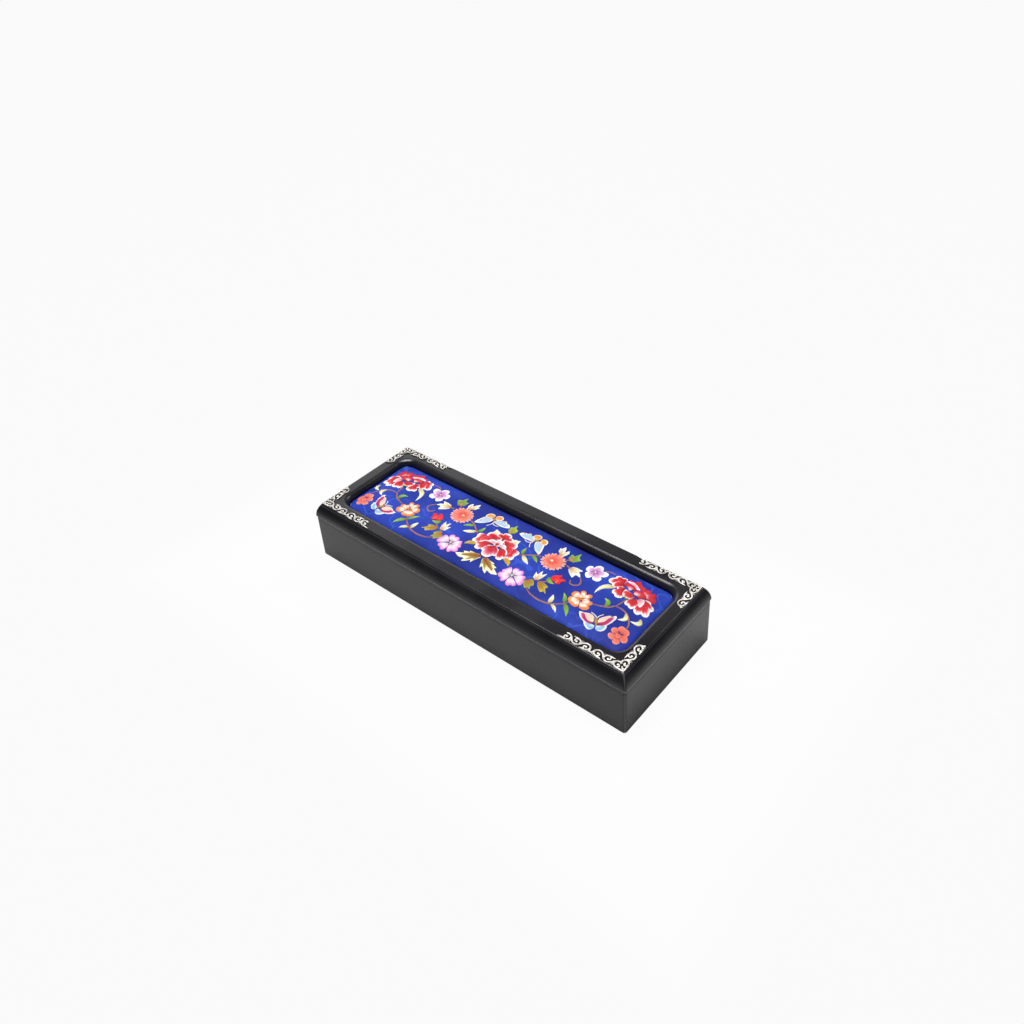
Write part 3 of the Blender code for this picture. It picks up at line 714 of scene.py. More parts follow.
@dataclass
class HingeSeats:
    """Where the two hinges are let into the back, and the groove that they lie in."""

    axis_y: float = 39.1 * MM
    axis_z: float = 28.9 * MM
    middle: float = 70.7 * MM
    half_length: float = 10.3 * MM
    barrel_radius: float = 1.6 * MM
    leaf_inner: float = 4.9 * MM
    leaf_depth: float = 1.3 * MM
    groove_angle: float = math.radians(54.5)

    def cutters(self, upwards: bool) -> list[Object]:
        """Cutters for the barrels and the leaves.

        Args:
            upwards: whether they cut the rim of the lid and not the carcass.

        Returns:
            The cutters, left hinge first.
        """
        low, high = self.axis_z, self.axis_z + self.leaf_depth
        if not upwards:
            low, high = self.axis_z - self.leaf_depth, self.axis_z
        made = []
        for middle in (-self.middle, self.middle):
            axis = (middle, self.axis_y, self.axis_z)
            start = (middle - self.half_length, self.axis_y - self.leaf_inner, low)
            end = (middle + self.half_length, self.axis_y, high)
            made += [barrel(axis, self.barrel_radius, 2 * self.half_length), block(start, end)]
        return made

    def chamfer(self, bm: BMesh, upwards: bool) -> None:
        """Cuts the back edge to one face of the groove.

        Args:
            bm: the shape that is cut.
            upwards: whether it is the rim of the lid and not the carcass.
        """
        sign = 1 if upwards else -1
        normal = Vector((0, math.sin(self.groove_angle), -sign * math.cos(self.groove_angle)))
        cut = bmesh.ops.bisect_plane(
            bm, geom=bm.verts[:] + bm.edges[:] + bm.faces[:], dist=1e-7,
            plane_co=(0, self.axis_y, self.axis_z), plane_no=normal, clear_outer=True,
        )["geom_cut"]
        edges = [item for item in cut if isinstance(item, BMEdge)]
        bmesh.ops.holes_fill(bm, edges=edges, sides=0)


@dataclass
class Carcass:
    """The body of the case as one lacquered piece, with no seam at its mitred corners."""

    finish: Material
    seats: HingeSeats
    name: str = "carcass"
    body: Body = Body.CASE
    nodes: tuple[str, ...] = tuple(f"case_{side}_wall" for side in SIDES)
    half_length: float = 114.7 * MM
    half_width: float = 40.2 * MM
    bottom: float = 0.9 * MM
    top: float = 28.84 * MM
    corner: float = 1.8 * MM
    foot_edge: float = 0.6 * MM
    seam_edge: float = 0.06 * MM
    inner_length: float = 108.2 * MM
    inner_width: float = 33.7 * MM
    rabbet_depth: float = 3.0 * MM
    rabbet_top: float = 4.7 * MM
    smooth: float = 35.0

    def shell(self) -> BMesh:
        """The rounded outside, with the back edge cut for the groove.

        Returns:
            The shape, still solid.
        """
        def climb(edge: BMEdge) -> float:
            """How far an edge goes up or down."""
            return abs(edge.verts[0].co.z - edge.verts[1].co.z)

        bm = bmesh.new()
        middle = (self.bottom + self.top) / 2
        size = (2 * self.half_length, 2 * self.half_width, self.top - self.bottom)
        bmesh.ops.create_cube(bm, size=1.0)
        bmesh.ops.scale(bm, vec=size, verts=bm.verts)
        bmesh.ops.translate(bm, vec=(0, 0, middle), verts=bm.verts)
        bevel(bm, [edge for edge in bm.edges if climb(edge) > MM], self.corner, 5)
        level = [edge for edge in bm.edges if climb(edge) < MM / 10]
        foot = [edge for edge in level if edge.verts[0].co.z < middle]
        seam = [edge for edge in level if edge.verts[0].co.z > middle]
        bevel(bm, foot, self.foot_edge, 3)
        bevel(bm, seam, self.seam_edge, 1)
        self.seats.chamfer(bm, self.body is Body.LID)
        return bm

    def cutters(self) -> list[Object]:
        """Cutters for the well, the bottom board's rabbet if there is one, and the hinges.

        Returns:
            The cutters.
        """
        made = []
        for out, top in ((0.0, 1.0), (self.rabbet_depth, self.rabbet_top)):
            if top:
                x, y = self.inner_length + out, self.inner_width + out
                made.append(block((-x, -y, 0.0), (x, y, top)))
        return made + self.seats.cutters(self.body is Body.LID)

    def make(self) -> Object:
        """Builds the piece.

        Returns:
            The piece.
        """
        piece = new_piece(self.shell(), self.name, self.finish, self.smooth)
        cut_by(piece, self.cutters())
        even_shading(piece)
        return settle(piece, self.body, Slot.LACQUER, *self.nodes)


@dataclass
class LidRim(Carcass):
    """The rim under the lid board, flush with the carcass, with no rabbet."""

    name: str = "lid_rim"
    body: Body = Body.LID
    nodes: tuple[str, ...] = tuple(f"lid_{side}_rim" for side in SIDES)
    bottom: float = 28.96 * MM
    top: float = 30.82 * MM
    foot_edge: float = 0.06 * MM
    rabbet_top: float = 0.0


@dataclass
class LidBoard:
    """The moulded board with its lip, sloping side, flat band and routed recess."""

    finish: Material
    half_length: float = 115.0 * MM
    half_width: float = 40.5 * MM
    bottom: float = 31.1 * MM
    top: float = 39.7 * MM
    lip: float = 0.3 * MM
    corner: float = 1.3 * MM
    moulding: float = 4.15 * MM
    edge: float = 1.2 * MM
    swell: float = 0.76 * MM
    foot: Point = (102.4 * MM, 26.9 * MM)
    foot_radius: float = 7.0 * MM
    foot_step: float = 0.3 * MM
    shoulder_width: float = 3.6 * MM
    shoulder_depth: float = 3.2 * MM
    recess: float = 5.2 * MM
    steps: int = 12
    smooth: float = 32.0

    def side_line(self) -> list[Point]:
        """The section of the side, from the foot of the lip up to the edge of the flat top.

        Returns:
            (inwards, level) points.
        """
        def bow(radius: float, inward: float, level: float, *degrees: float) -> list[Point]:
            """Points of a round edge about a middle."""
            angles = [math.radians(value) for value in degrees]
            return [(inward - radius * math.cos(a), level + radius * math.sin(a)) for a in angles]

        line = bow(self.lip, self.lip, self.bottom + self.lip, -90, -67, -45, -22, 0, 6)
        ridge = bow(self.edge, self.moulding, self.top - self.edge, 46, 57, 68, 79, 90)
        start, end = line[-1], ridge[0]
        run, rise = end[0] - start[0], end[1] - start[1]
        length = math.hypot(run, rise)
        for number in range(1, self.steps):
            part = number / self.steps
            out = self.swell * 4 * part * (1 - part) / length
            line.append((start[0] + run * part - out * rise, start[1] + rise * part + out * run))
        return line + ridge

    def shoulder_steps(self) -> list[Point]:
        """The quarter round from the flat top down to the foot of the shoulder.

        Returns:
            (inwards, upwards) steps.
        """
        angles = [math.pi / 2 * number / self.steps for number in range(self.steps + 1)]
        points = [
            (self.shoulder_width * math.sin(a), -self.shoulder_depth * (1 - math.cos(a)))
            for a in angles
        ]
        return [(b[0] - a[0], b[1] - a[1]) for a, b in zip(points, points[1:])]

    def make(self) -> Object:
        """Builds the board.

        Returns:
            The piece.
        """
        bm = bmesh.new()
        loops = []
        for inward, level in self.side_line():
            half = (self.half_length - inward, self.half_width - inward)
            outside = plate(bm, half, self.corner, level)
            loops.append(list(outside.edges))
            if len(loops) > 1:
                bmesh.ops.delete(bm, geom=[outside], context="FACES_ONLY")
                bmesh.ops.bridge_loops(bm, edges=loops[-2] + loops[-1])
        start = (self.foot[0] + self.shoulder_width, self.foot[1] + self.shoulder_width)
        inside = plate(bm, start, self.foot_radius + self.shoulder_width, self.top)
        brink = list(inside.edges)
        step_in(bm, inside, self.shoulder_steps())
        floor = lift(bm, inside, self.shoulder_depth - self.recess)
        step_in(bm, floor, [(self.foot_step, 0.0)])
        bmesh.ops.triangle_fill(bm, edges=loops[-1] + brink, use_beauty=True)
        piece = new_piece(bm, "lid_board_moulded", self.finish, self.smooth)
        even_shading(piece)
        return settle(piece, Body.LID, Slot.LACQUER, "lid_board")


# ---------------------------------------------------------------- the corner mounts


@dataclass
class CornerMounts:
    """Four pierced silver mounts: waving stems with scrolls, in rounded relief."""

    finish: Material
    corner: Point = (111.05 * MM, 36.6 * MM)
    level: float = 39.7 * MM
    width: float = 4.85 * MM
    stem: float = 0.92 * MM
    height: float = 0.7 * MM
    pitch: float = 5.95 * MM
    lead: float = 3.7 * MM
    tail: float = 4.75 * MM
    spur: float = 2.9 * MM
    eye: float = 0.68 * MM
    plane: float = 0.26 * MM
    border: float = 3.6 * MM
    stretch: float = 1.14
    turn: float = math.radians(345.0)
    curl_from: float = 0.58
    leave: float = math.radians(58.0)
    first_pull: float = 5.2 * MM
    pull: float = 7.2 * MM
    scrolls: int = 3
    wave_steps: int = 10
    scroll_steps: int = 24
    heart: tuple[Point, ...] = ((0.12, 0.5), (0.3, 0.8), (0.47, 0.6))
    smooth: float = 40.0

    def run_length(self) -> float:
        """The length of one run of scrolls."""
        return self.lead + (self.scrolls - 1) * self.pitch + self.tail

    def ring_radius(self) -> float:
        """The radius of a scroll's line."""
        return (self.width - self.stem) / 2

    def on_ring(self, centre: Vector, radius: float, angle: float, side: int) -> Vector:
        """A point of a scroll; 90 degrees is the side that its stem passes."""
        return centre + radius * Vector((self.stretch * math.cos(angle), side * math.sin(angle)))

    def wave(self, start: Vector, end: Vector, leave: Vector, arrive: Vector) -> Stroke:
        """A bent stem between two scrolls.

        Args:
            start: where it starts.
            end: where it ends.
            leave: its direction at the start.
            arrive: its direction at the end.

        Returns:
            The stroke.
        """
        parts = [number / self.wave_steps for number in range(self.wave_steps + 1)]
        points = [bent(start, end, leave, arrive, part) for part in parts]
        return points, [self.stem * 0.5] * len(points)

    def scroll(self, centre: Vector, side: int, first: float, reach: float) -> list[Stroke]:
        """One scroll and the blade that leaves its back.

        Args:
            centre: its middle.
            side: 1 or -1, the side of the run that it opens to.
            first: the angle at which its line starts.
            reach: the blade's length.

        Returns:
            The two strokes.
        """
        points, widths = [], []
        for number in range(self.scroll_steps + 1):
            part = number / self.scroll_steps
            curl = max(0.0, (part - self.curl_from) / (1 - self.curl_from))
            radius = self.ring_radius() * (1 - curl) + self.eye * 0.35 * curl
            points.append(self.on_ring(centre, radius, first + self.turn * part, side))
            widths.append(self.stem * (0.5 - 0.14 * curl - 0.05 * (1 - part)))
        edge = side * self.width / 2
        blade = [
            centre + Vector((-0.55 * self.ring_radius(), -edge * 0.8)),
            centre + Vector((0.1 * reach, -edge * 0.84)),
            centre + Vector((0.55 * reach, -edge * 0.84)),
            centre + Vector((reach, -edge * 0.93)),
        ]
        return [(points, widths), (blade, [self.stem * share for share in (0.3, 0.5, 0.42, 0.1)])]

    def run(self) -> tuple[list[Stroke], list[Vector]]:
        """One run of scrolls on a waving stem.

        Returns:
            Its strokes, and the middles of its scrolls.
        """
        middle = self.width / 2
        pull = Vector((math.sin(self.leave) * self.stretch, math.cos(self.leave))).normalized()
        pull *= self.pull
        strokes, eyes = [], []
        start, leave = Vector((0, self.stem)), Vector((self.first_pull, 0.0))
        for number in range(self.scrolls):
            side = 1 if number % 2 == 0 else -1
            centre = Vector((self.lead + number * self.pitch, middle))
            reach = self.tail if number == self.scrolls - 1 else self.spur
            strokes += self.scroll(centre, side, self.leave, reach)
            eyes.append(centre)
            end = self.on_ring(centre, self.ring_radius(), math.pi - self.leave, side)
            strokes.append(self.wave(start, end, leave, Vector((pull.x, side * pull.y))))
            root = (start + end) / 2
            for lean in (-0.2, 0.9):
                tip = Vector((root.x + self.stem * lean, middle - side * middle * 0.97))
                widths = [self.stem * share for share in (0.3, 0.26, 0.1)]
                strokes.append(([root, (root + tip) / 2, tip], widths))
            start = self.on_ring(centre, self.ring_radius(), self.leave, side)
            leave = Vector((pull.x, -side * pull.y))
        return strokes, eyes

    def placed(self) -> tuple[list[Stroke], list[Vector]]:
        """One whole mount: two runs along the side, one along the end, and the corner's line.

        Returns:
            Its strokes and the middles of its scrolls, from its corner.
        """
        strokes, eyes = self.run()
        length = self.run_length()
        moves: tuple[Callable[[Vector], Vector], ...] = (
            lambda p: Vector((length - p.x, p.y)),
            lambda p: Vector((length + p.x, p.y)),
            lambda p: Vector((p.y, length - p.x)),
        )
        all_strokes, all_eyes = [], []
        for move in moves:
            all_strokes += [([move(p) for p in points], widths) for points, widths in strokes]
            all_eyes += [move(p) for p in eyes]
        half = self.stem * 0.4
        corner = [Vector(spot) for spot in ((self.border, half), (half, half), (half, self.border))]
        return all_strokes + [(corner, [half * 0.6, half, half * 0.6])], all_eyes

    def relief(self) -> BMesh:
        """The mount as rounded strokes and balls, cut to a plane face on both sides.

        Returns:
            The shape, from its corner, standing on level 0.
        """
        strokes, eyes = self.placed()
        curve = bpy.data.curves.new("mount_strokes", "CURVE")
        curve.dimensions = "3D"
        curve.bevel_depth = 1.0
        curve.bevel_resolution = 3
        curve.use_fill_caps = True
        for points, widths in strokes:
            spline = curve.splines.new("POLY")
            spline.points.add(len(points) - 1)
            for target, point, width in zip(spline.points, points, widths):
                target.co = (point.x, point.y, 0, 1)
                target.radius = width
        guide = add_object("mount_strokes", curve)
        graph = bpy.context.evaluated_depsgraph_get()
        mesh = bpy.data.meshes.new_from_object(guide.evaluated_get(graph))
        bpy.data.objects.remove(guide, do_unlink=True)
        bm = bmesh.new()
        bm.from_mesh(mesh)
        bmesh.ops.remove_doubles(bm, verts=bm.verts, dist=1e-7)
        balls = [(eye, self.eye, 0.72) for eye in eyes]
        for share, size in self.heart:
            balls.append((Vector((share * self.width, share * self.width)), size * self.stem, 0.6))
        for point, radius, squash in balls:
            place = Matrix.Translation((point.x, point.y, 0)) @ Matrix.Diagonal((1, 1, squash, 1))
            bmesh.ops.create_uvsphere(bm, u_segments=14, v_segments=8, radius=radius, matrix=place)
        for vert in bm.verts:
            vert.co.z = min(max(vert.co.z, -self.plane), self.plane)
        bmesh.ops.scale(bm, vec=(1, 1, self.height / (2 * self.plane)), verts=bm.verts)
        bmesh.ops.translate(bm, vec=(0, 0, self.height / 2), verts=bm.verts)
        return bm

    def make(self) -> list[Object]:
        """Builds the four mounts.

        Returns:
            The pieces.
        """
        pattern = self.relief()
        pieces = []
        for end, side_x in (("left", -1), ("right", 1)):
            for face, side_y in (("front", -1), ("back", 1)):
                bm = pattern.copy()
                bmesh.ops.scale(bm, vec=(-side_x, -side_y, 1), verts=bm.verts)
                place = (side_x * self.corner[0], side_y * self.corner[1], self.level)
                bmesh.ops.translate(bm, vec=place, verts=bm.verts)
                piece = new_piece(bm, f"{face}_{end}_scroll_mount", self.finish, self.smooth)
                pieces.append(settle(piece, Body.LID, Slot.SILVER, f"{face}_{end}_corner_mount"))
        pattern.free()
        return pieces


# ---------------------------------------------------------------- the satin panel


@dataclass
class SatinPanel:
    """The padded panel: satin drawn over wadding, highest along its middle."""

    finish: Material
    half: Point = (102.1 * MM, 26.6 * MM)
    corner: float = 6.8 * MM
    foot: float = 34.8 * MM
    edge: float = 35.25 * MM
    crown: float = 3.55 * MM
    roll: float = 15.0 * MM
    fullness: float = 0.64
    pucker: float = 0.05 * MM
    slack: float = 0.04 * MM
    spacing: float = 1.0 * MM
    smooth: float = 60.0

    def past_corner(self, x: float, y: float) -> Point:
        """How far a point lies past the middles of the nearest rounded corner, each way."""
        return abs(x) - (self.half[0] - self.corner), abs(y) - (self.half[1] - self.corner)

    def inset(self, x: float, y: float) -> float:
        """How far a point lies inside the panel's outline.

        Args:
            x: its place along the case.
            y: its place across the case.

        Returns:
            The distance.
        """
        off_x, off_y = self.past_corner(x, y)
        if off_x > 0 and off_y > 0:
            return self.corner - math.hypot(off_x, off_y)
        return self.corner - max(off_x, off_y)

    def height(self, x: float, y: float) -> float:
        """The level of the satin at a point.

        Args:
            x: its place along the case.
            y: its place across the case.

        Returns:
            The level, with the small puckers at the rim and the slack in the middle.
        """
        part = min(max(self.inset(x, y) / self.roll, 0.0), 1.0)
        swell = math.sin(math.pi / 2 * part ** self.fullness)
        fold = self.pucker * math.sin(x * 1900.0) * max(0.0, 1 - part * 5) * min(1.0, part * 30)
        fold += self.slack * math.sin(x * 95.0 + 1.3) * math.sin(y * 160.0 + 0.4) * part
        return self.edge + self.crown * swell + fold

    def make(self) -> Object:
        """Builds the panel.

        Returns:
            The piece.
        """
        bm = bmesh.new()
        counts = [round(2 * side / self.spacing) for side in self.half]
        bmesh.ops.create_grid(bm, x_segments=counts[0], y_segments=counts[1], size=1.0)
        for vert in bm.verts:
            x, y = vert.co.x * self.half[0], vert.co.y * self.half[1]
            u, v = (off / self.corner for off in self.past_corner(x, y))
            if u > 0 and v > 0:
                u, v = u * math.sqrt(1 - v * v / 2), v * math.sqrt(1 - u * u / 2)
                x = math.copysign(self.half[0] - self.corner + self.corner * u, x)
                y = math.copysign(self.half[1] - self.corner + self.corner * v, y)
            vert.co = (x, y, self.height(x, y))
        rim = [edge for edge in bm.edges if edge.is_boundary]
        for level in (0.5, 1.0):
            made = bmesh.ops.extrude_edge_only(bm, edges=rim)["geom"]
            for vert in (item for item in made if isinstance(item, BMVert)):
                vert.co.z = self.edge + (self.foot - self.edge) * level
            rim = [item for item in made if isinstance(item, BMEdge)]
        bmesh.ops.edgeloop_fill(bm, edges=rim)
        piece = new_piece(bm, "satin_cover", self.finish, self.smooth)
        return settle(piece, Body.LID, Slot.SATIN, "panel_satin", "panel_wadding")


# ---------------------------------------------------------------- the embroidery


SNOW = (252, 248, 250)


@dataclass(frozen=True)
class Dye:
    """The colours of one patch of stitches, from its root out to its end and its edge."""

    root: Colour
    middle: Colour
    end: Colour
    edge: Colour
    edge_from: float = 0.8
    side_from: float = 2.0
    ragged: float = 0.05

    def at(self, along: float, across: float) -> Colour:
        """The colour of a point.

        Args:
            along: its share of the length.
            across: its share of the half width, below zero on the left.

        Returns:
            The colour.
        """
        if along < 0.5:
            colour = blend_colours(self.root, self.middle, along * 2)
        else:
            colour = blend_colours(self.middle, self.end, along * 2 - 1)
        reach = along + self.ragged * (math.sin(across * 29.0) + math.sin(across * 67.0 + 1.0))
        # Painted shade between petals: darker along their sides, most towards the root, where no
        # pale side edge is stitched.
        if self.side_from > 1:
            shade = max(0.0, (abs(across) - 0.78) / 0.22) * (1.0 - along) * 1.2
            colour = blend_colours(colour, BLACK, min(shade, 0.6))
        side = (abs(across) - self.side_from) / 0.12 if along > 0.12 else 0.0
        return blend_colours(colour, self.edge, max((reach - self.edge_from) / 0.12, side))


def dyed(root: Colour, middle: Colour, end: Colour, edge: Colour, *extents: float) -> Dye:
    """A dye from 0 to 255 display values, and where its edges start if not as usual."""
    return Dye(*(tint(*part) for part in (root, middle, end, edge)), *extents)


CREAM = dyed((196, 178, 116), (236, 234, 182), (250, 250, 222), (252, 252, 236), 0.72)
CREAM_BLUSH = dyed((196, 122, 96), (226, 206, 168), (246, 244, 208), (252, 252, 236), 0.7)
LEAF = dyed((98, 128, 34), (118, 166, 48), (158, 200, 74), (152, 194, 70), 0.75)
OCHRE = dyed((184, 98, 34), (156, 124, 30), (196, 170, 50), (206, 180, 60), 0.84)
OCHRE_GREEN = dyed((190, 76, 40), (152, 128, 34), (162, 158, 44), (178, 176, 62), 0.84)
GOLD = dyed((196, 160, 50), (190, 150, 46), (214, 184, 66), (220, 196, 84), 0.84)
LIME = dyed((176, 140, 44), (152, 150, 36), (186, 198, 50), (170, 196, 60), 0.8)
MAPLE = dyed((150, 88, 34), (158, 124, 40), (232, 222, 138), (250, 248, 208), 0.66)
GREEN_MAPLE = dyed((206, 128, 78), (126, 140, 50), (128, 180, 58), (148, 196, 76), 0.8)
CORAL = dyed((216, 74, 60), (238, 112, 92), (250, 152, 128), (254, 206, 184), 0.86, 0.8)
CORAL_DEEP = dyed((206, 62, 52), (234, 92, 78), (246, 132, 112), (253, 188, 166), 0.84, 0.78)
CORAL_KNOB = dyed((190, 74, 60), (242, 116, 94), (244, 120, 98), (252, 156, 128), 0.8, 2.0, 0.02)
PINK = dyed((196, 160, 176), (248, 226, 240), (240, 186, 230), (228, 138, 208), 0.74, 0.88)
PLUM = dyed((176, 104, 172), (224, 164, 214), (248, 238, 244), (254, 252, 252), 0.66)
ORANGE = dyed((238, 140, 44), (250, 236, 228), (246, 206, 164), (234, 134, 38), 0.64, 0.74, 0.03)
AMBER = dyed((226, 120, 30), (240, 150, 44), (240, 156, 60), (244, 176, 96), 0.9)
PEONY = dyed((130, 2, 22), (204, 10, 32), (226, 26, 48), SNOW, 0.76, 0.84, 0.04)
PEONY_SCARLET = dyed((170, 8, 26), (214, 16, 40), (232, 44, 64), (250, 226, 226), 0.84, 2.0, 0.05)
PEONY_PALE = dyed((190, 30, 56), (238, 180, 196), (252, 238, 242), SNOW, 0.72, 0.8, 0.06)
PEONY_BLUSH = dyed((168, 10, 32), (200, 24, 50), (240, 150, 172), SNOW, 0.8, 0.86, 0.06)
PEONY_TURNED = dyed((244, 226, 230), (206, 44, 62), (196, 8, 28), (186, 8, 26), 0.86, 2.0, 0.08)
RED_BACK = dyed((176, 16, 34), (198, 24, 40), (210, 36, 52), (222, 56, 60), 0.9, 2.0, 0.05)
BUD = dyed((214, 36, 40), (226, 34, 36), (220, 24, 30), (232, 52, 50), 0.88)
BUD_LIGHT = dyed((244, 110, 100), (240, 84, 76), (226, 44, 44), (214, 26, 30), 0.86)
PEACH = dyed((250, 236, 206), (248, 204, 184), (250, 196, 180), (252, 224, 208), 0.84, 0.86, 0.0)
MAGENTA = dyed((176, 24, 96), (178, 22, 100), (196, 30, 116), SNOW, 0.8, 2.0, 0.0)
SKY = dyed((236, 240, 244), (140, 196, 236), (116, 180, 232), (246, 250, 252), 0.76, 0.84, 0.02)
PALE_SKY = dyed((210, 196, 190), (166, 202, 242), (176, 204, 240), (252, 250, 236), 0.8, 0.7, 0.03)
SPOT = dyed((232, 136, 50), (240, 160, 84), (248, 200, 150), (252, 232, 204), 0.7, 0.7, 0.02)
EYE = dyed((238, 200, 130), (236, 146, 40), (244, 166, 84), (252, 236, 208), 0.74, 0.76, 0.02)
BODY_OCHRE = dyed((150, 104, 52), (184, 140, 70), (150, 104, 52), (214, 180, 110), 0.8)
BROWN = dyed((140, 70, 34), (158, 84, 40), (176, 110, 52), (186, 124, 60), 0.9, 2.0, 0.0)
STEM = dyed((146, 96, 84), (160, 108, 90), (150, 96, 84), (176, 124, 104), 0.95, 0.6, 0.0)
FEELER = dyed(SNOW, SNOW, SNOW, SNOW)


@dataclass
class Stitching:
    """Patches of satin stitch laid on the panel, gathered into one piece."""

    panel: SatinPanel
    name: str
    petal_rows: int = 12
    petal_columns: tuple[int, int] = (14, 44)
    leaf_counts: tuple[int, int] = (8, 14)
    stem_columns: int = 4
    stem_rows: tuple[int, float] = (10, 1.6)
    bm: BMesh = field(default_factory=bmesh.new)

    def __post_init__(self) -> None:
        """Adds the map that the threads follow and the colour of each point."""
        self.threads = self.bm.loops.layers.uv.new("threads")
        self.dye = self.bm.verts.layers.float_color.new("dye")

    def patch(
        self, counts: tuple[int, int], shape: Callable[[float, float], Place], dye: Dye,
        size: Point, layer: float, twin: bool = True,
    ) -> None:
        """Lays one patch, and its twin on the other half of the panel.

        Args:
            counts: how many quads across and along.
            shape: gives x, y in millimetres and the relief's share for a place across and along.
            dye: its colours.
            size: its width and length in millimetres, which the threads' map keeps.
            layer: how many patches lie under it.
            twin: whether the other half of the panel has it too.
        """
        for mirror in (1, -1) if twin else (1,):
            made = bmesh.ops.create_grid(
                self.bm, x_segments=counts[0], y_segments=counts[1], size=1.0
            )["verts"]
            for vert in made:
                across, along = vert.co.x, (vert.co.y + 1) / 2
                x, y, swell = shape(across, along)
                x, y = mirror * x * MM, y * MM
                rise = (0.05 + 0.06 * layer + 0.28 * swell) * MM
                vert.co = (x, y, self.panel.height(x, y) + rise)
                vert[self.dye] = (*dye.at(along, across), 1.0)
                for loop in vert.link_loops:
                    loop[self.threads].uv = (across * size[0] / 2 * MM, along * size[1] * MM)
            if mirror < 0:
                faces = {face for vert in made for face in vert.link_faces}
                bmesh.ops.reverse_faces(self.bm, faces=list(faces))

    @staticmethod
    def on_line(line: Sequence[Vector], share: float, tension: float = 0.5) -> Vector:
        """A point of the smooth line through other points.

        Args:
            line: the points.
            share: how far along the line, from 0 to 1.
            tension: 0.5 for round bends, less for sharper ones.

        Returns:
            The point.
        """
        place = min(max(share, 0.0), 1.0) * (len(line) - 1)
        index = min(int(place), len(line) - 2)
        start, end = line[index], line[index + 1]
        leave = (end - line[max(index - 1, 0)]) * tension
        arrive = (line[min(index + 2, len(line) - 1)] - start) * tension
        return bent(start, end, leave, arrive, place - index)

    def fan(
        self, root: Point, edge: Sequence[Point], dye: Dye, layer: float = 0, twin: bool = True,
        tension: float = 0.5,
    ) -> None:
        """A petal or leaf whose threads fan out from its root to its edge.

        Args:
            root: where the threads meet.
            edge: points of the far edge, from one side to the other.
            dye: its colours.
            layer: how many patches lie under it.
            twin: whether the other half of the panel has it too.
            tension: how round the edge is between its points.
        """
        start = Vector(root)
        line = [Vector(point) for point in edge]
        length = sum((point - start).length for point in line) / len(line)
        width = sum((b - a).length for a, b in zip(line, line[1:]))

        def shape(across: float, along: float) -> Place:
            """Where a point of the petal lies.

            Args:
                across: its place from side to side, -1 to 1.
                along: its place from root to edge, 0 to 1.

            Returns:
                x and y in millimetres and the relief's share.
            """
            end = self.on_line(line, (across + 1) / 2, tension)
            spot = start + (end - start) * (0.06 + 0.94 * along)
            swell = (1 - across ** 6) * (1 - along ** 6) * min(1.0, along * 4 + 0.3)
            return spot.x, spot.y, swell

        fewest, most = self.petal_columns
        counts = (min(most, max(fewest, 4 * (len(line) - 1))), self.petal_rows)
        self.patch(counts, shape, dye, (width * 0.8, length), layer, twin)

    def leaf(
        self, points: Sequence[Point], width: float, dye: Dye, layer: float = 0,
        fullest: float = 0.78,
    ) -> None:
        """A pointed leaf along a bent line.

        Args:
            points: the line's two ends, with one point between them where it bends.
            width: its width.
            dye: its colours.
            layer: how many patches lie under it.
            fullest: less than 1 where it is widest below its middle.
        """
        start, end = Vector(points[0]), Vector(points[-1])
        bend = Vector(points[1]) if len(points) == 3 else (start + end) / 2
        length = (bend - start).length + (end - bend).length

        def shape(across: float, along: float) -> Place:
            """Where a point of the leaf lies.

            Args:
                across: its place from side to side, -1 to 1.
                along: its place along the line, 0 to 1.

            Returns:
                x and y in millimetres and the relief's share.
            """
            spot = start * (1 - along) ** 2 + bend * (2 * along * (1 - along)) + end * along ** 2
            slope = (bend - start) * (1 - along) + (end - bend) * along
            half = width / 2 * math.sin(math.pi * min(1.0, along ** fullest)) ** 0.85
            spot = spot + Vector((slope.y, -slope.x)).normalized() * (half * across)
            crease = 1 - 0.35 * max(0.0, 1 - abs(across) * 5)
            return spot.x, spot.y, (1 - across ** 4) * crease * min(1.0, half * 2)

        self.patch(self.leaf_counts, shape, dye, (width, length), layer)

    def stem(
        self, points: Sequence[Point], width: float, dye: Dye = STEM, layer: float = 0
    ) -> None:
        """A line of stem stitch.

        Args:
            points: what the line passes through.
            width: its width.
            dye: its colours.
            layer: how many patches lie under it.
        """
        line = [Vector(point) for point in points]
        total = sum((b - a).length for a, b in zip(line, line[1:]))

        def shape(across: float, along: float) -> Place:
            """Where a point of the stem lies.

            Args:
                across: its place from side to side, -1 to 1.
                along: its place along the line, 0 to 1.

            Returns:
                x and y in millimetres and the relief's share.
            """
            slope = self.on_line(line, along + 0.01) - self.on_line(line, along - 0.01)
            half = width / 2 * across * (0.5 + 0.5 * math.sin(math.pi * along) ** 0.4)
            spot = self.on_line(line, along) + Vector((slope.y, -slope.x)).normalized() * half
            return spot.x, spot.y, (1 - across * across) * 0.8

        fewest, rate = self.stem_rows
        counts = (self.stem_columns, max(fewest, int(total * rate)))
        self.patch(counts, shape, dye, (width, total), layer)

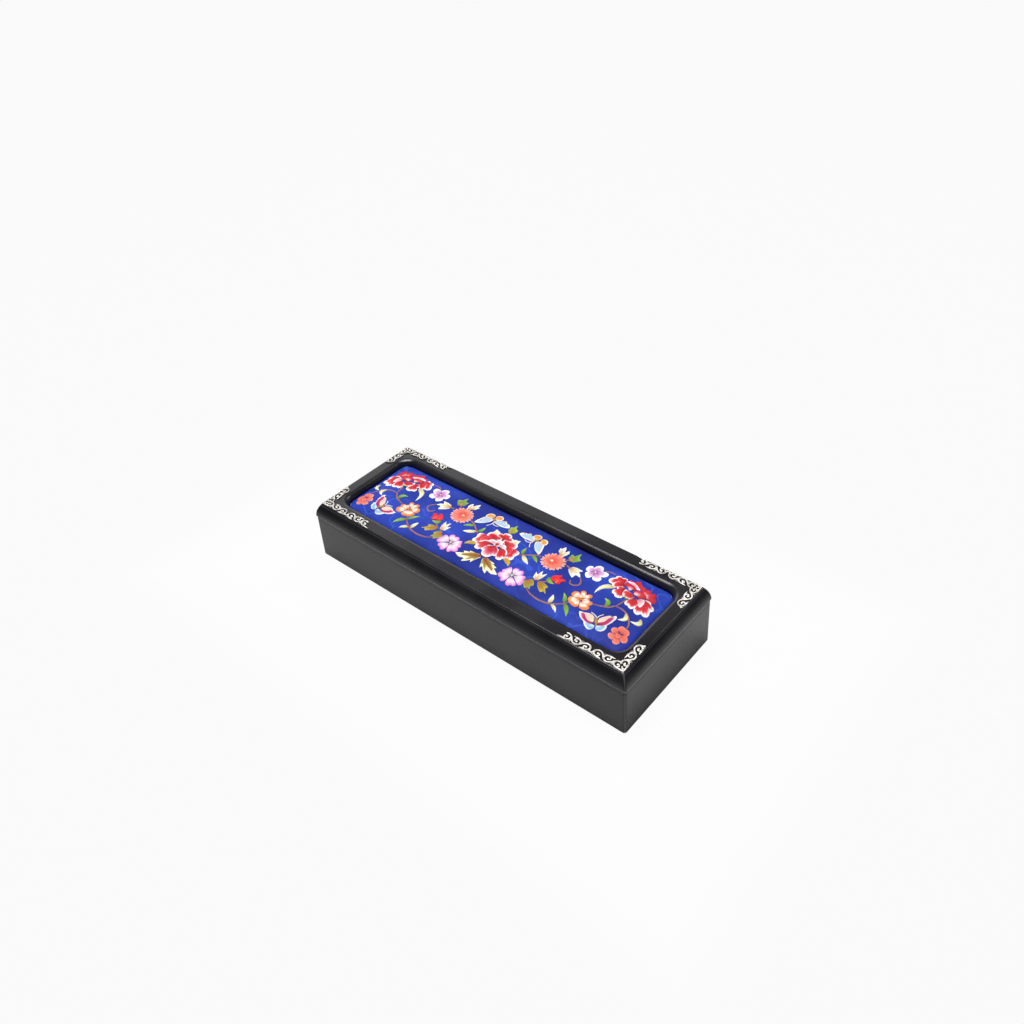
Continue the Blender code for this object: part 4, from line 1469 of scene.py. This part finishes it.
    def ring(
        self, centre: Point, radius: float, count: int, dye: Dye, layer: float = 0,
        turn: float = 90.0, cleft: float = 0.12, squeeze: float = 1.0,
    ) -> None:
        """A ring of equal petals.

        Args:
            centre: its middle, in millimetres.
            radius: how far the petals reach.
            count: how many petals.
            dye: their colours.
            layer: how many patches lie under it.
            turn: the direction of the first petal, in degrees.
            cleft: how deep the notch in each petal's end is, as a share of the radius.
            squeeze: the ring's height as a share of its width.
        """
        half = 0.96 * 180.0 / count
        places = (-1.0, -0.84, -0.45, 0.0, 0.45, 0.84, 1.0)
        reaches = (0.66, 0.9, 1.0, 1 - cleft, 1.0, 0.9, 0.66)
        for number in range(count):
            edge = []
            for place, reach in zip(places, reaches):
                angle = math.radians(turn + 360.0 * number / count + place * half)
                x, y = reach * math.cos(angle), reach * squeeze * math.sin(angle)
                edge.append((centre[0] + radius * x, centre[1] + radius * y))
            self.fan(centre, edge, dye, layer + 0.5 * (number % 2))

    def knots(self, centre: Point, radius: float, count: int, dye: Dye, layer: float) -> None:
        """Small round knots in the middle of a flower.

        Args:
            centre: the flower's middle.
            radius: how far the knots spread.
            count: how many.
            dye: their colours.
            layer: how many patches lie under them.
        """
        for number in range(count):
            angle = 2.4 * number
            reach = radius * math.sqrt((number + 0.5) / count)
            x, y = centre[0] + reach * math.cos(angle), centre[1] + reach * math.sin(angle)
            self.leaf([(x - 0.5, y), (x + 0.5, y)], 0.9, dye, layer)

    def finish(self, material: Material) -> Object:
        """Makes the piece and lets it ride on the lid.

        Args:
            material: the silk.

        Returns:
            The piece.
        """
        bmesh.ops.remove_doubles(self.bm, verts=self.bm.verts, dist=1e-8)
        piece = mesh_object(self.bm, self.name, material)
        piece.data.shade_smooth()
        return settle(piece, Body.LID, Slot.SATIN)


@dataclass
class Embroidery:
    """The garden on the panel, the same left and right: flowers, leaves, vines, butterflies."""

    panel: SatinPanel
    silk: Material

    def vines(self) -> Object:
        """Stems, tendrils and vines.

        Returns:
            The piece.
        """
        work = Stitching(self.panel, "vines")
        for points in (
            [(15.0, -1.4), (17.1, 0.6), (19.7, 2.3), (22.0, 4.0), (24.6, 5.4), (26.4, 5.6)],
            [(42.3, 8.4), (45.0, 7.7)],
            [(39.6, 11.4), (41.0, 12.8)],
            [(53.8, 5.1), (55.6, 3.5), (56.8, 1.4), (56.6, -0.3), (55.1, -1.6), (53.4, -2.1),
                (51.8, -1.3), (51.1, 0.4)],
            [(62.0, 17.2), (63.9, 18.4), (65.8, 18.8), (68.3, 18.7)],
            [(41.6, -8.0), (40.4, -9.1), (37.6, -10.9)],
            [(34.8, -17.8), (37.7, -19.6), (41.2, -20.6), (45.0, -21.0), (49.2, -20.7),
                (53.0, -19.8), (56.2, -17.9), (58.5, -16.0), (60.6, -13.4)],
            [(71.0, -7.2), (74.4, -6.2), (77.5, -5.0), (79.3, -4.1), (81.0, -2.2), (82.2, -0.8)],
            [(82.0, -1.1), (82.7, 1.7), (83.2, 3.8), (83.4, 6.0)],
            [(81.8, -1.3), (84.8, -1.2), (87.9, -1.8), (91.0, -3.5), (93.5, -6.2), (94.8, -8.7),
                (95.0, -11.2)],
        ):
            work.stem(points, 0.95)
        return work.finish(self.silk)

    def leaves(self) -> Object:
        """All the leaves.

        Returns:
            The piece.
        """
        work = Stitching(self.panel, "leaves")
        top = [(-3.0, 12.0), (-3.5, 15.4), (-2.4, 15.8), (-1.6, 19.0), (-0.2, 16.0), (1.9, 15.0),
            (1.6, 12.0)]
        work.fan((-0.6, 9.4), top, LIME, twin=False, tension=0.4)
        work.fan((7.6, 4.6), [(4.8, 6.2), (5.8, 8.0), (7.4, 8.3), (8.9, 8.9), (9.0, 7.2),
            (9.4, 5.2)], CREAM)
        work.leaf([(10.0, -7.9), (14.4, -7.4), (16.4, -11.4)], 3.3, GOLD)
        work.fan((1.0, -13.2), [(3.2, -13.1), (6.0, -13.8), (9.3, -14.2), (8.2, -15.4),
            (12.2, -16.0), (11.2, -17.2), (15.6, -19.6), (12.2, -20.9), (8.6, -20.2), (9.0, -22.4),
            (6.6, -21.4), (4.4, -19.4), (3.6, -20.7), (2.4, -18.2), (0.8, -15.0)], MAPLE,
            tension=0.28)
        work.stem([(1.6, -14.0), (5.4, -16.2), (11.4, -18.9)], 1.3, BROWN, 4)
        work.stem([(2.0, -14.6), (4.4, -17.6), (7.4, -20.6)], 0.7, OCHRE, 4)
        work.leaf([(17.0, 0.7), (15.0, 3.0), (15.5, 6.4)], 2.5, LEAF)
        work.leaf([(21.5, 3.3), (24.6, 3.4), (27.6, 0.0)], 2.3, LEAF)
        work.leaf([(17.4, 0.7), (20.4, -1.9), (24.6, -3.7)], 2.9, CREAM)
        work.fan((34.0, 12.4), [(31.4, 15.2), (30.6, 18.3), (31.6, 17.8), (32.3, 21.0),
            (33.8, 19.0), (34.9, 16.6), (36.2, 19.0), (37.3, 17.2), (37.2, 15.0), (36.2, 13.0)],
            CREAM_BLUSH, tension=0.35)
        work.fan((41.0, 12.2), [(39.5, 13.6), (39.3, 17.7), (41.2, 17.2), (42.8, 21.4),
            (44.0, 17.6), (46.2, 16.3), (45.2, 14.2), (43.2, 12.2)], GREEN_MAPLE, tension=0.35)
        work.fan((44.6, 7.9), [(46.0, 9.6), (48.6, 10.1), (52.3, 9.9), (50.9, 8.2), (52.8, 6.8),
            (53.9, 4.9), (50.9, 5.2), (50.4, 2.5), (48.4, 3.4), (46.4, 4.9), (45.0, 6.4)],
            CREAM_BLUSH, tension=0.35)
        work.leaf([(41.0, -4.4), (40.8, -8.2), (46.0, -7.3)], 2.9, LEAF)
        work.fan((35.6, -11.6), [(33.3, -10.0), (32.7, -8.0), (32.2, -5.5), (33.9, -6.8),
            (34.6, -2.8), (36.1, -5.6), (37.9, -3.4), (37.7, -7.4), (36.8, -10.2)], CREAM_BLUSH,
            tension=0.35)
        work.fan((37.5, -10.8), [(39.4, -10.0), (42.4, -10.2), (44.8, -11.4), (44.0, -12.8),
            (46.6, -15.9), (44.4, -15.2), (43.4, -16.4), (41.0, -15.2), (39.0, -13.4),
            (37.9, -12.0)], OCHRE, tension=0.35)
        work.fan((32.3, -12.8), [(33.0, -11.8), (34.8, -11.6), (36.4, -13.0), (37.4, -14.9),
            (36.2, -15.8), (37.3, -18.0), (35.3, -17.6), (34.6, -18.9), (32.8, -17.6),
            (31.4, -15.8), (31.2, -13.8)], OCHRE_GREEN, tension=0.35)
        work.leaf([(51.5, -20.0), (52.2, -17.0), (50.4, -13.8)], 2.8, CREAM)
        work.leaf([(53.3, -19.9), (56.4, -20.2), (58.6, -22.8)], 2.1, CREAM)
        work.leaf([(58.7, -15.6), (57.6, -12.2), (54.1, -9.3)], 2.4, LEAF)
        work.leaf([(58.8, -15.8), (62.6, -17.2), (64.8, -22.0)], 2.8, LEAF)
        work.leaf([(77.2, -5.3), (78.8, -0.4), (73.7, 0.1)], 2.9, LEAF)
        work.leaf([(73.8, 9.3), (66.6, 9.2), (67.1, -0.3)], 3.3, CREAM, 0, 0.62)
        work.leaf([(88.9, -2.4), (93.6, -6.4), (87.8, -8.6)], 2.7, CREAM)
        work.leaf([(96.9, -0.6), (100.2, -4.8), (93.6, -5.5)], 2.7, CREAM)
        return work.finish(self.silk)

    def flowers(self) -> Object:
        """The smaller flowers and the buds.

        Returns:
            The piece.
        """
        work = Stitching(self.panel, "flowers")
        work.ring((34.4, 6.4), 7.5, 10, CORAL, 0, 12.0, 0.12, 0.92)
        work.ring((34.0, 6.5), 5.2, 8, CORAL_DEEP, 2, 30.0, 0.14, 0.94)
        work.knots((33.4, 6.5), 0.9, 6, CREAM, 5)
        for root, edge in (
            ((22.4, -15.6), [(20.6, -12.8), (19.7, -11.4), (18.3, -10.9), (17.3, -12.4),
                (16.8, -13.6), (15.8, -15.2), (17.0, -16.8), (19.0, -17.0)]),
            ((23.0, -15.0), [(21.2, -13.0), (20.5, -11.4), (21.4, -9.9), (23.0, -9.6),
                (24.0, -10.4), (25.2, -9.5), (26.8, -9.9), (27.5, -11.6), (26.6, -13.4)]),
            ((23.9, -15.6), [(27.0, -13.4), (28.4, -12.1), (30.2, -12.5), (30.6, -14.2),
                (31.4, -16.0), (31.6, -18.2), (30.0, -19.2), (28.0, -18.0)]),
            ((23.5, -16.3), [(28.4, -18.6), (29.1, -20.0), (27.8, -21.2), (26.5, -21.2),
                (25.4, -22.4), (23.6, -22.0), (22.6, -20.4), (22.6, -18.6)]),
            ((22.6, -16.2), [(18.0, -17.2), (15.9, -17.0), (15.5, -18.8), (17.0, -19.9),
                (18.5, -20.2), (19.3, -21.5), (21.0, -21.5), (22.1, -20.0), (22.4, -18.4)]),
        ):
            work.fan(root, edge, PINK)
        work.knots((23.0, -15.7), 0.6, 4, CREAM, 2)
        for root, edge in (
            ((58.2, 13.5), [(55.6, 15.4), (55.8, 17.8), (57.0, 19.4), (58.8, 19.7), (60.2, 18.4),
                (60.9, 16.4)]),
            ((58.5, 13.4), [(61.1, 16.3), (62.6, 17.0), (64.9, 16.4), (65.3, 14.4), (64.3, 12.7),
                (62.5, 12.0)]),
            ((58.4, 13.2), [(62.7, 11.9), (64.1, 10.6), (63.7, 8.5), (62.0, 7.6), (60.0, 7.9),
                (59.0, 9.6)]),
            ((58.2, 13.2), [(58.8, 9.4), (58.0, 7.9), (56.7, 7.1), (54.9, 8.2), (54.0, 10.0),
                (54.6, 11.4)]),
            ((58.0, 13.4), [(54.5, 11.4), (52.8, 12.0), (52.2, 13.9), (52.8, 15.7), (54.4, 16.5),
                (55.6, 15.5)]),
        ):
            work.fan(root, edge, PLUM)
        work.knots((58.3, 13.3), 0.5, 3, PINK, 2)
        for root, edge in (
            ((64.2, -7.2), [(61.4, -4.6), (61.0, -2.7), (62.6, -1.7), (64.0, -2.5), (64.8, -3.6),
                (65.8, -2.4), (67.6, -2.4), (68.2, -4.0), (67.0, -5.2)]),
            ((63.4, -7.8), [(61.2, -4.6), (59.6, -4.2), (58.0, -5.4), (57.7, -7.2), (58.6, -8.5),
                (60.2, -8.9)]),
            ((63.6, -8.6), [(59.8, -8.9), (58.4, -9.4), (58.4, -11.4), (59.6, -13.0), (61.6, -13.8),
                (63.4, -14.4), (65.4, -14.1), (66.1, -12.4), (65.3, -10.6)]),
            ((65.0, -9.2), [(66.0, -11.4), (66.8, -13.2), (68.8, -13.7), (70.9, -12.9),
                (71.7, -11.2), (71.0, -9.9), (69.4, -9.6)]),
            ((64.8, -7.9), [(66.4, -5.5), (67.4, -4.8), (68.6, -6.2), (70.5, -6.3), (71.3, -7.8),
                (70.6, -9.3), (69.0, -9.9), (67.0, -10.2)]),
            ((64.0, -7.8), [(61.8, -6.6), (61.4, -5.4), (62.4, -4.8), (63.6, -5.4), (64.2, -6.4)]),
        ):
            work.fan(root, edge, ORANGE)
        work.knots((64.2, -8.3), 1.1, 5, AMBER, 2)
        for root, edge in (
            ((94.7, -15.4), [(91.7, -13.8), (91.9, -11.7), (93.3, -10.7), (94.8, -11.2),
                (96.6, -11.0), (98.1, -12.6), (97.9, -14.8)]),
            ((94.0, -16.0), [(92.6, -14.2), (91.0, -13.5), (89.6, -14.4), (89.3, -16.0),
                (90.8, -17.3), (92.6, -17.0)]),
            ((94.0, -17.6), [(91.8, -17.6), (90.0, -18.0), (89.7, -19.5), (91.4, -20.9),
                (93.2, -20.9), (94.0, -19.6)]),
            ((94.8, -18.4), [(93.6, -20.0), (93.8, -21.7), (95.4, -22.4), (97.0, -21.8),
                (97.4, -20.0), (96.0, -19.0)]),
            ((95.2, -16.9), [(96.6, -14.8), (98.3, -14.8), (99.5, -16.2), (99.6, -18.0),
                (98.3, -19.4), (96.4, -18.8)]),
            ((94.6, -15.6), [(92.8, -16.4), (93.0, -18.2), (94.6, -18.9), (96.0, -17.8),
                (96.0, -16.2)]),
        ):
            work.fan(root, edge, CORAL_KNOB)
        work.fan((45.2, -6.4), [(42.8, -5.8), (41.3, -3.7), (42.1, -1.7), (43.8, -0.5), (45.1, 0.5),
            (45.9, -0.9), (45.7, -3.0)], BUD, 1)
        work.fan((45.6, -6.9), [(45.5, -3.2), (46.4, -1.8), (47.8, -1.4), (49.3, -1.8),
            (48.9, -3.2), (48.1, -4.4), (48.0, -6.0), (46.6, -6.9)], BUD, 1.5)
        work.fan((45.8, -6.8), [(44.4, -3.8), (45.2, -2.7), (46.6, -3.3), (47.4, -5.2)], BUD_LIGHT,
            2.5)
        return work.finish(self.silk)

    def central_peony(self) -> Object:
        """The peony in the middle of the panel.

        Returns:
            The piece.
        """
        work = Stitching(self.panel, "central_peony")
        work.fan((6.4, 1.0), [(10.2, 1.2), (12.4, 1.6), (14.7, 0.9), (15.1, -1.2), (14.4, -3.2),
            (15.0, -5.2), (14.2, -7.0), (12.6, -7.4), (11.2, -6.0)], PEONY)
        work.fan((1.0, 4.4), [(2.0, 7.0), (3.6, 7.8), (5.2, 7.2), (5.6, 5.8), (5.0, 4.8)], PEONY,
            0.5)
        work.fan((4.0, 0.6), [(0.8, 2.6), (1.0, 4.6), (2.8, 5.4), (4.8, 5.2), (6.2, 5.8),
            (8.4, 5.8), (10.0, 5.0), (10.7, 3.4), (10.4, 1.6), (8.4, 1.0)], PEONY, 1)
        work.fan((3.0, -2.0), [(7.2, -1.6), (9.4, -3.4), (10.4, -5.6), (12.4, -7.2), (11.6, -8.4),
            (10.0, -8.4), (9.8, -10.0), (8.2, -10.9), (6.4, -10.4), (5.6, -8.6)], PEONY, 1.5)
        work.fan((5.6, -0.4), [(5.2, 1.2), (6.4, 2.2), (8.4, 2.2), (10.4, 1.2), (11.6, -1.6),
            (11.4, -4.4), (9.6, -3.2)], PEONY_SCARLET, 2)
        work.fan((1.2, -2.2), [(1.8, 0.2), (3.4, 0.9), (5.2, 0.6), (6.4, -0.8), (6.0, -2.0)],
            PEONY_PALE, 3)
        work.fan((0.0, 2.4), [(-2.6, 6.8), (-2.9, 8.4), (-1.6, 9.6), (0.0, 9.9), (1.6, 9.6),
            (2.9, 8.4), (2.6, 6.8)], PEONY, 2, False)
        work.fan((0.0, -2.4), [(-4.2, -4.4), (-5.4, -7.2), (-5.6, -9.4), (-3.8, -9.9),
            (-3.0, -11.6), (-1.6, -13.0), (0.0, -13.2), (1.6, -13.0), (3.0, -11.6), (3.8, -9.9),
            (5.6, -9.4), (5.4, -7.2), (4.2, -4.4)], PEONY_BLUSH, 3, False)
        work.fan((0.0, -2.8), [(-2.4, -0.4), (-2.0, 1.6), (-0.8, 2.5), (0.8, 2.5), (2.0, 1.6),
            (2.4, -0.4)], PEONY_PALE, 4, False)
        work.fan((0.0, -2.8), [(-1.6, -1.8), (-1.2, -0.2), (0.0, 0.4), (1.2, -0.2), (1.6, -1.8)],
            PEONY, 5, False)
        work.stem([(0.4, -3.0), (2.4, -1.7), (5.2, -1.4), (8.2, -2.8), (10.0, -5.2)], 0.9, FEELER,
            4)
        return work.finish(self.silk)

    def end_peonies(self) -> Object:
        """The two peonies at the ends, seen from the side.

        Returns:
            The piece.
        """
        work = Stitching(self.panel, "end_peonies")
        for root, edge, dye, layer in (
            ((76.0, 15.0), [(70.2, 11.2), (68.4, 11.6), (67.4, 13.2), (68.0, 15.2), (69.2, 16.4),
                (69.2, 18.2), (70.8, 19.4), (72.6, 18.8), (73.4, 19.6), (75.2, 19.6), (76.2, 18.0)],
                PEONY, 0),
            ((77.6, 13.8), [(72.8, 8.9), (71.2, 10.6), (70.4, 12.8), (71.0, 15.6), (72.6, 16.8),
                (74.6, 16.6)], PEONY, 1),
            ((81.0, 15.6), [(76.2, 19.0), (77.0, 20.4), (79.4, 20.2), (80.4, 22.0), (81.4, 22.9),
                (83.2, 20.8), (84.8, 19.8), (86.6, 19.4), (87.2, 18.0), (86.0, 16.4)], RED_BACK, 0),
            ((81.0, 15.0), [(76.3, 18.2), (78.0, 19.5), (80.6, 19.8), (83.0, 18.8), (84.6, 17.8),
                (85.4, 15.8)], PEONY_PALE, 1),
            ((81.0, 12.4), [(76.4, 14.8), (76.8, 17.0), (78.8, 17.8), (81.4, 18.0), (83.0, 16.8),
                (83.6, 14.8)], PEONY_TURNED, 2),
            ((88.6, 13.2), [(86.6, 16.0), (86.9, 18.2), (88.4, 19.3), (90.4, 19.1), (91.4, 17.6),
                (93.0, 18.5), (94.7, 17.6), (95.0, 16.0), (96.4, 14.8), (96.5, 12.8), (95.0, 11.6)],
                PEONY_TURNED, 0.5),
            ((84.6, 11.4), [(83.0, 13.2), (84.6, 15.2), (87.4, 15.7), (90.2, 15.1), (91.6, 13.4),
                (90.6, 11.6), (88.2, 10.4)], PEONY_TURNED, 3),
            ((90.0, 11.2), [(94.6, 12.4), (96.0, 10.6), (97.6, 10.1), (98.7, 8.4), (97.9, 6.4),
                (98.6, 4.6), (98.4, 2.6), (96.8, 1.6), (95.2, 2.0), (94.0, 0.4), (92.4, 0.4),
                (90.8, 1.6), (90.2, 3.6)], PEONY, 1),
            ((88.4, 10.4), [(92.4, 11.4), (93.4, 8.4), (93.2, 5.2), (92.2, 4.6), (90.6, 6.2),
                (89.2, 8.2)], PEONY_PALE, 3),
            ((87.2, 9.8), [(84.2, 6.2), (83.8, 4.2), (84.9, 2.5), (86.6, 2.6), (87.6, 1.8),
                (89.2, 1.5), (90.2, 2.8), (91.2, 5.4), (90.0, 8.0)], PEONY, 2),
            ((78.8, 12.4), [(75.4, 12.8), (74.2, 11.2), (75.0, 9.4), (73.8, 7.8), (74.3, 5.9),
                (76.2, 5.2), (77.2, 4.3), (79.2, 4.3), (80.8, 5.4), (80.6, 7.4)], PEONY, 2),
            ((86.2, 10.6), [(79.4, 12.0), (78.2, 10.8), (78.2, 9.0), (79.4, 7.4), (81.4, 6.6),
                (83.6, 6.4), (85.2, 7.4)], PEONY, 4),
        ):
            work.fan(root, edge, dye, layer)
        work.fan((83.4, 5.2), [(80.4, 7.6), (81.6, 7.4), (82.8, 6.8), (84.4, 7.2)], LEAF, 6)
        return work.finish(self.silk)

    def butterflies(self) -> Object:
        """A blue and a peach butterfly on each half.

        Returns:
            The piece.
        """
        work = Stitching(self.panel, "butterflies")
        for root, edge, dye, layer in (
            ((80.8, -18.6), [(74.4, -19.4), (75.8, -21.0), (78.8, -22.3), (80.6, -21.4),
                (81.4, -20.0)], SKY, 0),
            ((81.6, -18.4), [(86.2, -15.2), (86.9, -17.2), (86.2, -19.4), (84.0, -20.6),
                (82.0, -19.8)], SKY, 0),
            ((79.0, -17.0), [(74.4, -14.2), (71.4, -14.8), (68.9, -15.4), (70.4, -17.6),
                (72.8, -19.0), (76.0, -19.8), (79.2, -19.6)], MAGENTA, 1),
            ((79.2, -17.2), [(77.6, -14.2), (75.2, -13.5), (73.0, -13.9), (71.2, -15.2),
                (73.0, -17.2), (75.6, -18.4), (78.4, -18.4)], PEACH, 2),
            ((81.4, -17.6), [(81.8, -12.0), (84.6, -9.2), (86.2, -7.1), (87.3, -8.4), (87.2, -11.6),
                (86.4, -14.6), (84.8, -17.0)], MAGENTA, 1),
            ((80.8, -16.6), [(80.2, -13.6), (81.2, -11.8), (82.8, -9.6), (84.1, -8.7),
                (84.9, -10.0), (84.8, -13.0), (83.8, -15.4)], PEACH, 2),
            ((15.6, 12.6), [(13.6, 16.9), (12.4, 16.4), (10.6, 17.0), (9.2, 18.0), (8.0, 16.6),
                (6.6, 16.6), (5.2, 15.8), (4.0, 14.0), (5.6, 12.8), (9.0, 12.0)], PALE_SKY, 0),
            ((14.6, 15.0), [(12.2, 15.8), (11.9, 18.0), (13.2, 19.7), (15.0, 20.1), (16.6, 19.1),
                (16.9, 17.4), (16.0, 15.4)], EYE, 1),
            ((18.4, 14.2), [(17.7, 16.4), (18.0, 18.0), (19.6, 18.8), (21.4, 18.3), (22.5, 16.8),
                (22.7, 14.9), (21.4, 13.2)], EYE, 1),
            ((16.4, 14.8), [(16.4, 12.6), (17.8, 10.2), (20.2, 7.9), (22.6, 6.6), (24.3, 6.1),
                (24.2, 8.2), (23.3, 11.2), (22.2, 13.6), (20.0, 15.0)], PALE_SKY, 2),
            ((6.2, 15.0), [(5.8, 16.0), (6.8, 16.5), (7.8, 15.8)], SPOT, 2),
            ((9.4, 15.8), [(8.7, 17.2), (9.6, 17.8), (10.7, 16.9)], SPOT, 2),
            ((20.6, 12.0), [(20.2, 13.4), (21.4, 13.4), (22.0, 12.0)], SPOT, 4),
            ((22.0, 9.0), [(21.4, 10.4), (22.6, 10.5), (23.0, 9.0)], SPOT, 4),
        ):
            work.fan(root, edge, dye, layer)
        work.leaf([(78.4, -14.4), (80.4, -16.0), (82.0, -19.2)], 2.0, BODY_OCHRE, 4)
        work.stem([(79.2, -14.4), (77.4, -13.2), (74.4, -12.5)], 0.6, FEELER, 3)
        work.stem([(79.2, -14.2), (79.4, -12.2), (80.6, -10.2)], 0.6, FEELER, 3)
        work.leaf([(17.2, 16.0), (16.0, 14.8), (14.6, 13.0)], 1.6, BODY_OCHRE, 4)
        work.stem([(15.2, 12.6), (13.8, 11.0), (11.8, 10.6), (10.0, 11.3)], 0.6, FEELER, 3)
        work.stem([(14.4, 11.8), (15.0, 9.6), (16.3, 7.7)], 0.6, FEELER, 3)
        return work.finish(self.silk)

    def make(self) -> list[Object]:
        """Builds all of the embroidery.

        Returns:
            The pieces.
        """
        makers = (
            self.vines, self.leaves, self.flowers, self.central_peony, self.end_peonies,
            self.butterflies,
        )
        return [maker() for maker in makers]


# ---------------------------------------------------------------- CAD pieces that stay


@dataclass
class KeptNodes:
    """Gives the CAD nodes that stay their finishes."""

    nodes: dict[str, Object]

    def dress(self, names: Iterable[str], material: Material) -> None:
        """Puts one finish on several nodes.

        Args:
            names: the nodes' names.
            material: the finish.
        """
        for name in names:
            mesh = self.nodes[name].data
            mesh.materials.clear()
            mesh.materials.append(material)
            LOG.info("%s: %s", name, material.name)

    def make(self) -> None:
        """Dresses linings, felt, boards and hinges."""
        velvet = Pile("blue_velvet", tint(22, 30, 84), tint(50, 64, 140), 0.6, 3200.0).make()
        felt = Pile("black_felt", tint(22, 22, 25), tint(62, 62, 66), 0.4, 2400.0).make()
        brass = Metal("polished_brass", tint(214, 174, 98), tint(150, 112, 56), 0.3).make()
        self.dress([name for name in self.nodes if name.endswith("_lining")], velvet)
        self.dress(["base_felt"], felt)
        self.dress(["bottom_board"], PlainWood().make())
        self.dress(["panel_card"], Card().make())
        self.dress([name for name in self.nodes if "_hinge_" in name], brass)


# ---------------------------------------------------------------- stage


@dataclass(frozen=True)
class PhotoCamera:
    """The camera of the three-quarter view, as fitted to the case's edges."""

    azimuth: float = 42.346
    elevation: float = 32.218
    roll: float = -4.072
    distance: float = 0.72011
    focal_pixels: float = 976.37
    target: Place = (-0.11271, 0.14347, 0.02)
    middle_row: float = 400.0
    frame: float = 1024.0
    sensor: float = 36.0
    clip: float = 0.01

    def make(self) -> Object:
        """Adds the camera.

        Returns:
            The camera.
        """
        turn, tilt, roll = (math.radians(a) for a in (self.azimuth, self.elevation, self.roll))
        out = math.cos(tilt)
        back = Vector((math.sin(turn) * out, -math.cos(turn) * out, math.sin(tilt)))
        right = Vector((math.cos(turn), math.sin(turn), 0))
        up = back.cross(right)
        level = math.cos(roll) * right + math.sin(roll) * up
        upright = -math.sin(roll) * right + math.cos(roll) * up
        data = bpy.data.cameras.new("photo_camera")
        data.sensor_width = self.sensor
        data.lens = self.focal_pixels / self.frame * self.sensor
        data.shift_y = (self.middle_row - self.frame / 2) / self.frame
        data.clip_start = self.clip
        camera = add_object("photo_camera", data)
        place = Matrix.Translation(Vector(self.target) + back * self.distance)
        camera.matrix_world = place @ Matrix((level, upright, back)).transposed().to_4x4()
        bpy.context.scene.camera = camera
        return camera


@dataclass
class Studio:
    """A white sweep and large soft lamps."""

    floor_half: float = 3.0
    floor_level: float = -0.2 * MM
    near_half: Point = (115.0 * MM, 40.5 * MM)
    # Painted pool of light on the floor: pale near the case, dark further out, which reflections
    # and bounced light see.
    painted_light_pool_tone: Colour = (0.56, 0.56, 0.56)
    painted_falloff_tone: Colour = (0.15, 0.15, 0.15)
    whiteness: float = 0.95
    world_light: float = 0.065
    aim: Place = (0.0, 0.0, 0.02)
    lamps: tuple[tuple[str, Place, Point, float], ...] = (
        ("overhead", (-0.13, -0.08, 1.5), (0.9, 0.9), 28.5),
        ("back", (-1.25, 0.95, 0.68), (1.2, 1.0), 4.8),
        ("high_back", (0.25, 0.95, 0.85), (0.6, 0.45), 2.8),
    )

    def floor(self) -> Object:
        """The pale floor, which shows as white, keeps a soft shadow and lights the case. Its colour
        is a painted pool of light, pale near the case and dark further out.

        Returns:
            The floor.
        """
        bm = bmesh.new()
        bmesh.ops.create_grid(bm, x_segments=1, y_segments=1, size=self.floor_half)
        shader = Shader("white_sweep", Roughness=0.9)
        at = shader.place()
        out_x, out_y = (shader.part(at, axis).size() - self.near_half[axis] for axis in (0, 1))
        # Painted falloff of light: the floor's colour darkens away from the case.
        away = out_x.larger(out_y).step(0.04, 0.11)
        shader.feed(Base_Color=away.between(self.painted_light_pool_tone, self.painted_falloff_tone))
        ray = shader.node("ShaderNodeLightPath", output="Is Camera Ray")
        glow = shader.node("ShaderNodeEmission", {}, {"Color": WHITE, "Strength": 1.0})
        surface = Field(shader, shader.surface.outputs[0])
        mix = shader.node("ShaderNodeMixShader", {}, {0: ray * self.whiteness, 1: surface, 2: glow})
        shader.tree.links.new(mix.socket, shader.tree.nodes["Material Output"].inputs["Surface"])
        floor = mesh_object(bm, "floor", shader.material)
        floor.location.z = self.floor_level
        return floor

    def world(self) -> None:
        """A plain grey world that the camera sees as white."""
        world = bpy.data.worlds.new("studio")
        world.use_nodes = True
        tree = world.node_tree
        plain, white = tree.nodes["Background"], tree.nodes.new("ShaderNodeBackground")
        for light, strength in ((plain, self.world_light), (white, 1.0)):
            light.inputs["Color"].default_value = (*WHITE, 1.0)
            light.inputs["Strength"].default_value = strength
        path = tree.nodes.new("ShaderNodeLightPath")
        mix = tree.nodes.new("ShaderNodeMixShader")
        sources = (path.outputs["Is Camera Ray"], plain.outputs[0], white.outputs[0])
        for source, target in zip(sources, mix.inputs):
            tree.links.new(source, target)
        tree.links.new(mix.outputs[0], tree.nodes["World Output"].inputs["Surface"])
        bpy.context.scene.world = world

    def make(self) -> None:
        """Adds floor, world and lamps."""
        self.floor()
        self.world()
        for name, place, size, power in self.lamps:
            data = bpy.data.lights.new(name, "AREA")
            data.shape = "RECTANGLE"
            data.size, data.size_y = size
            data.energy = power
            lamp = add_object(name, data)
            lamp.location = place
            aim = Vector(self.aim) - lamp.location
            lamp.rotation_euler = aim.to_track_quat("-Z", "Y").to_euler()
        bpy.context.scene.view_settings.view_transform = "Standard"


def main() -> None:
    """Builds the whole picture."""
    logging.basicConfig(level=logging.INFO, format="%(name)s: %(message)s")
    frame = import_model()
    PhotoCamera().make()
    Studio().make()
    lacquer = Lacquer().make()
    seats = HingeSeats()
    Carcass(lacquer, seats).make()
    LidRim(lacquer, seats).make()
    LidBoard(lacquer).make()
    silver = Metal("plated_silver", tint(241, 238, 233), tint(208, 204, 198), 0.54).make()
    CornerMounts(silver).make()
    panel = SatinPanel(Satin().make())
    panel.make()
    Embroidery(panel, Silk().make()).make()
    KeptNodes(frame["nodes"]).make()


if __name__ == "__main__":
    main()
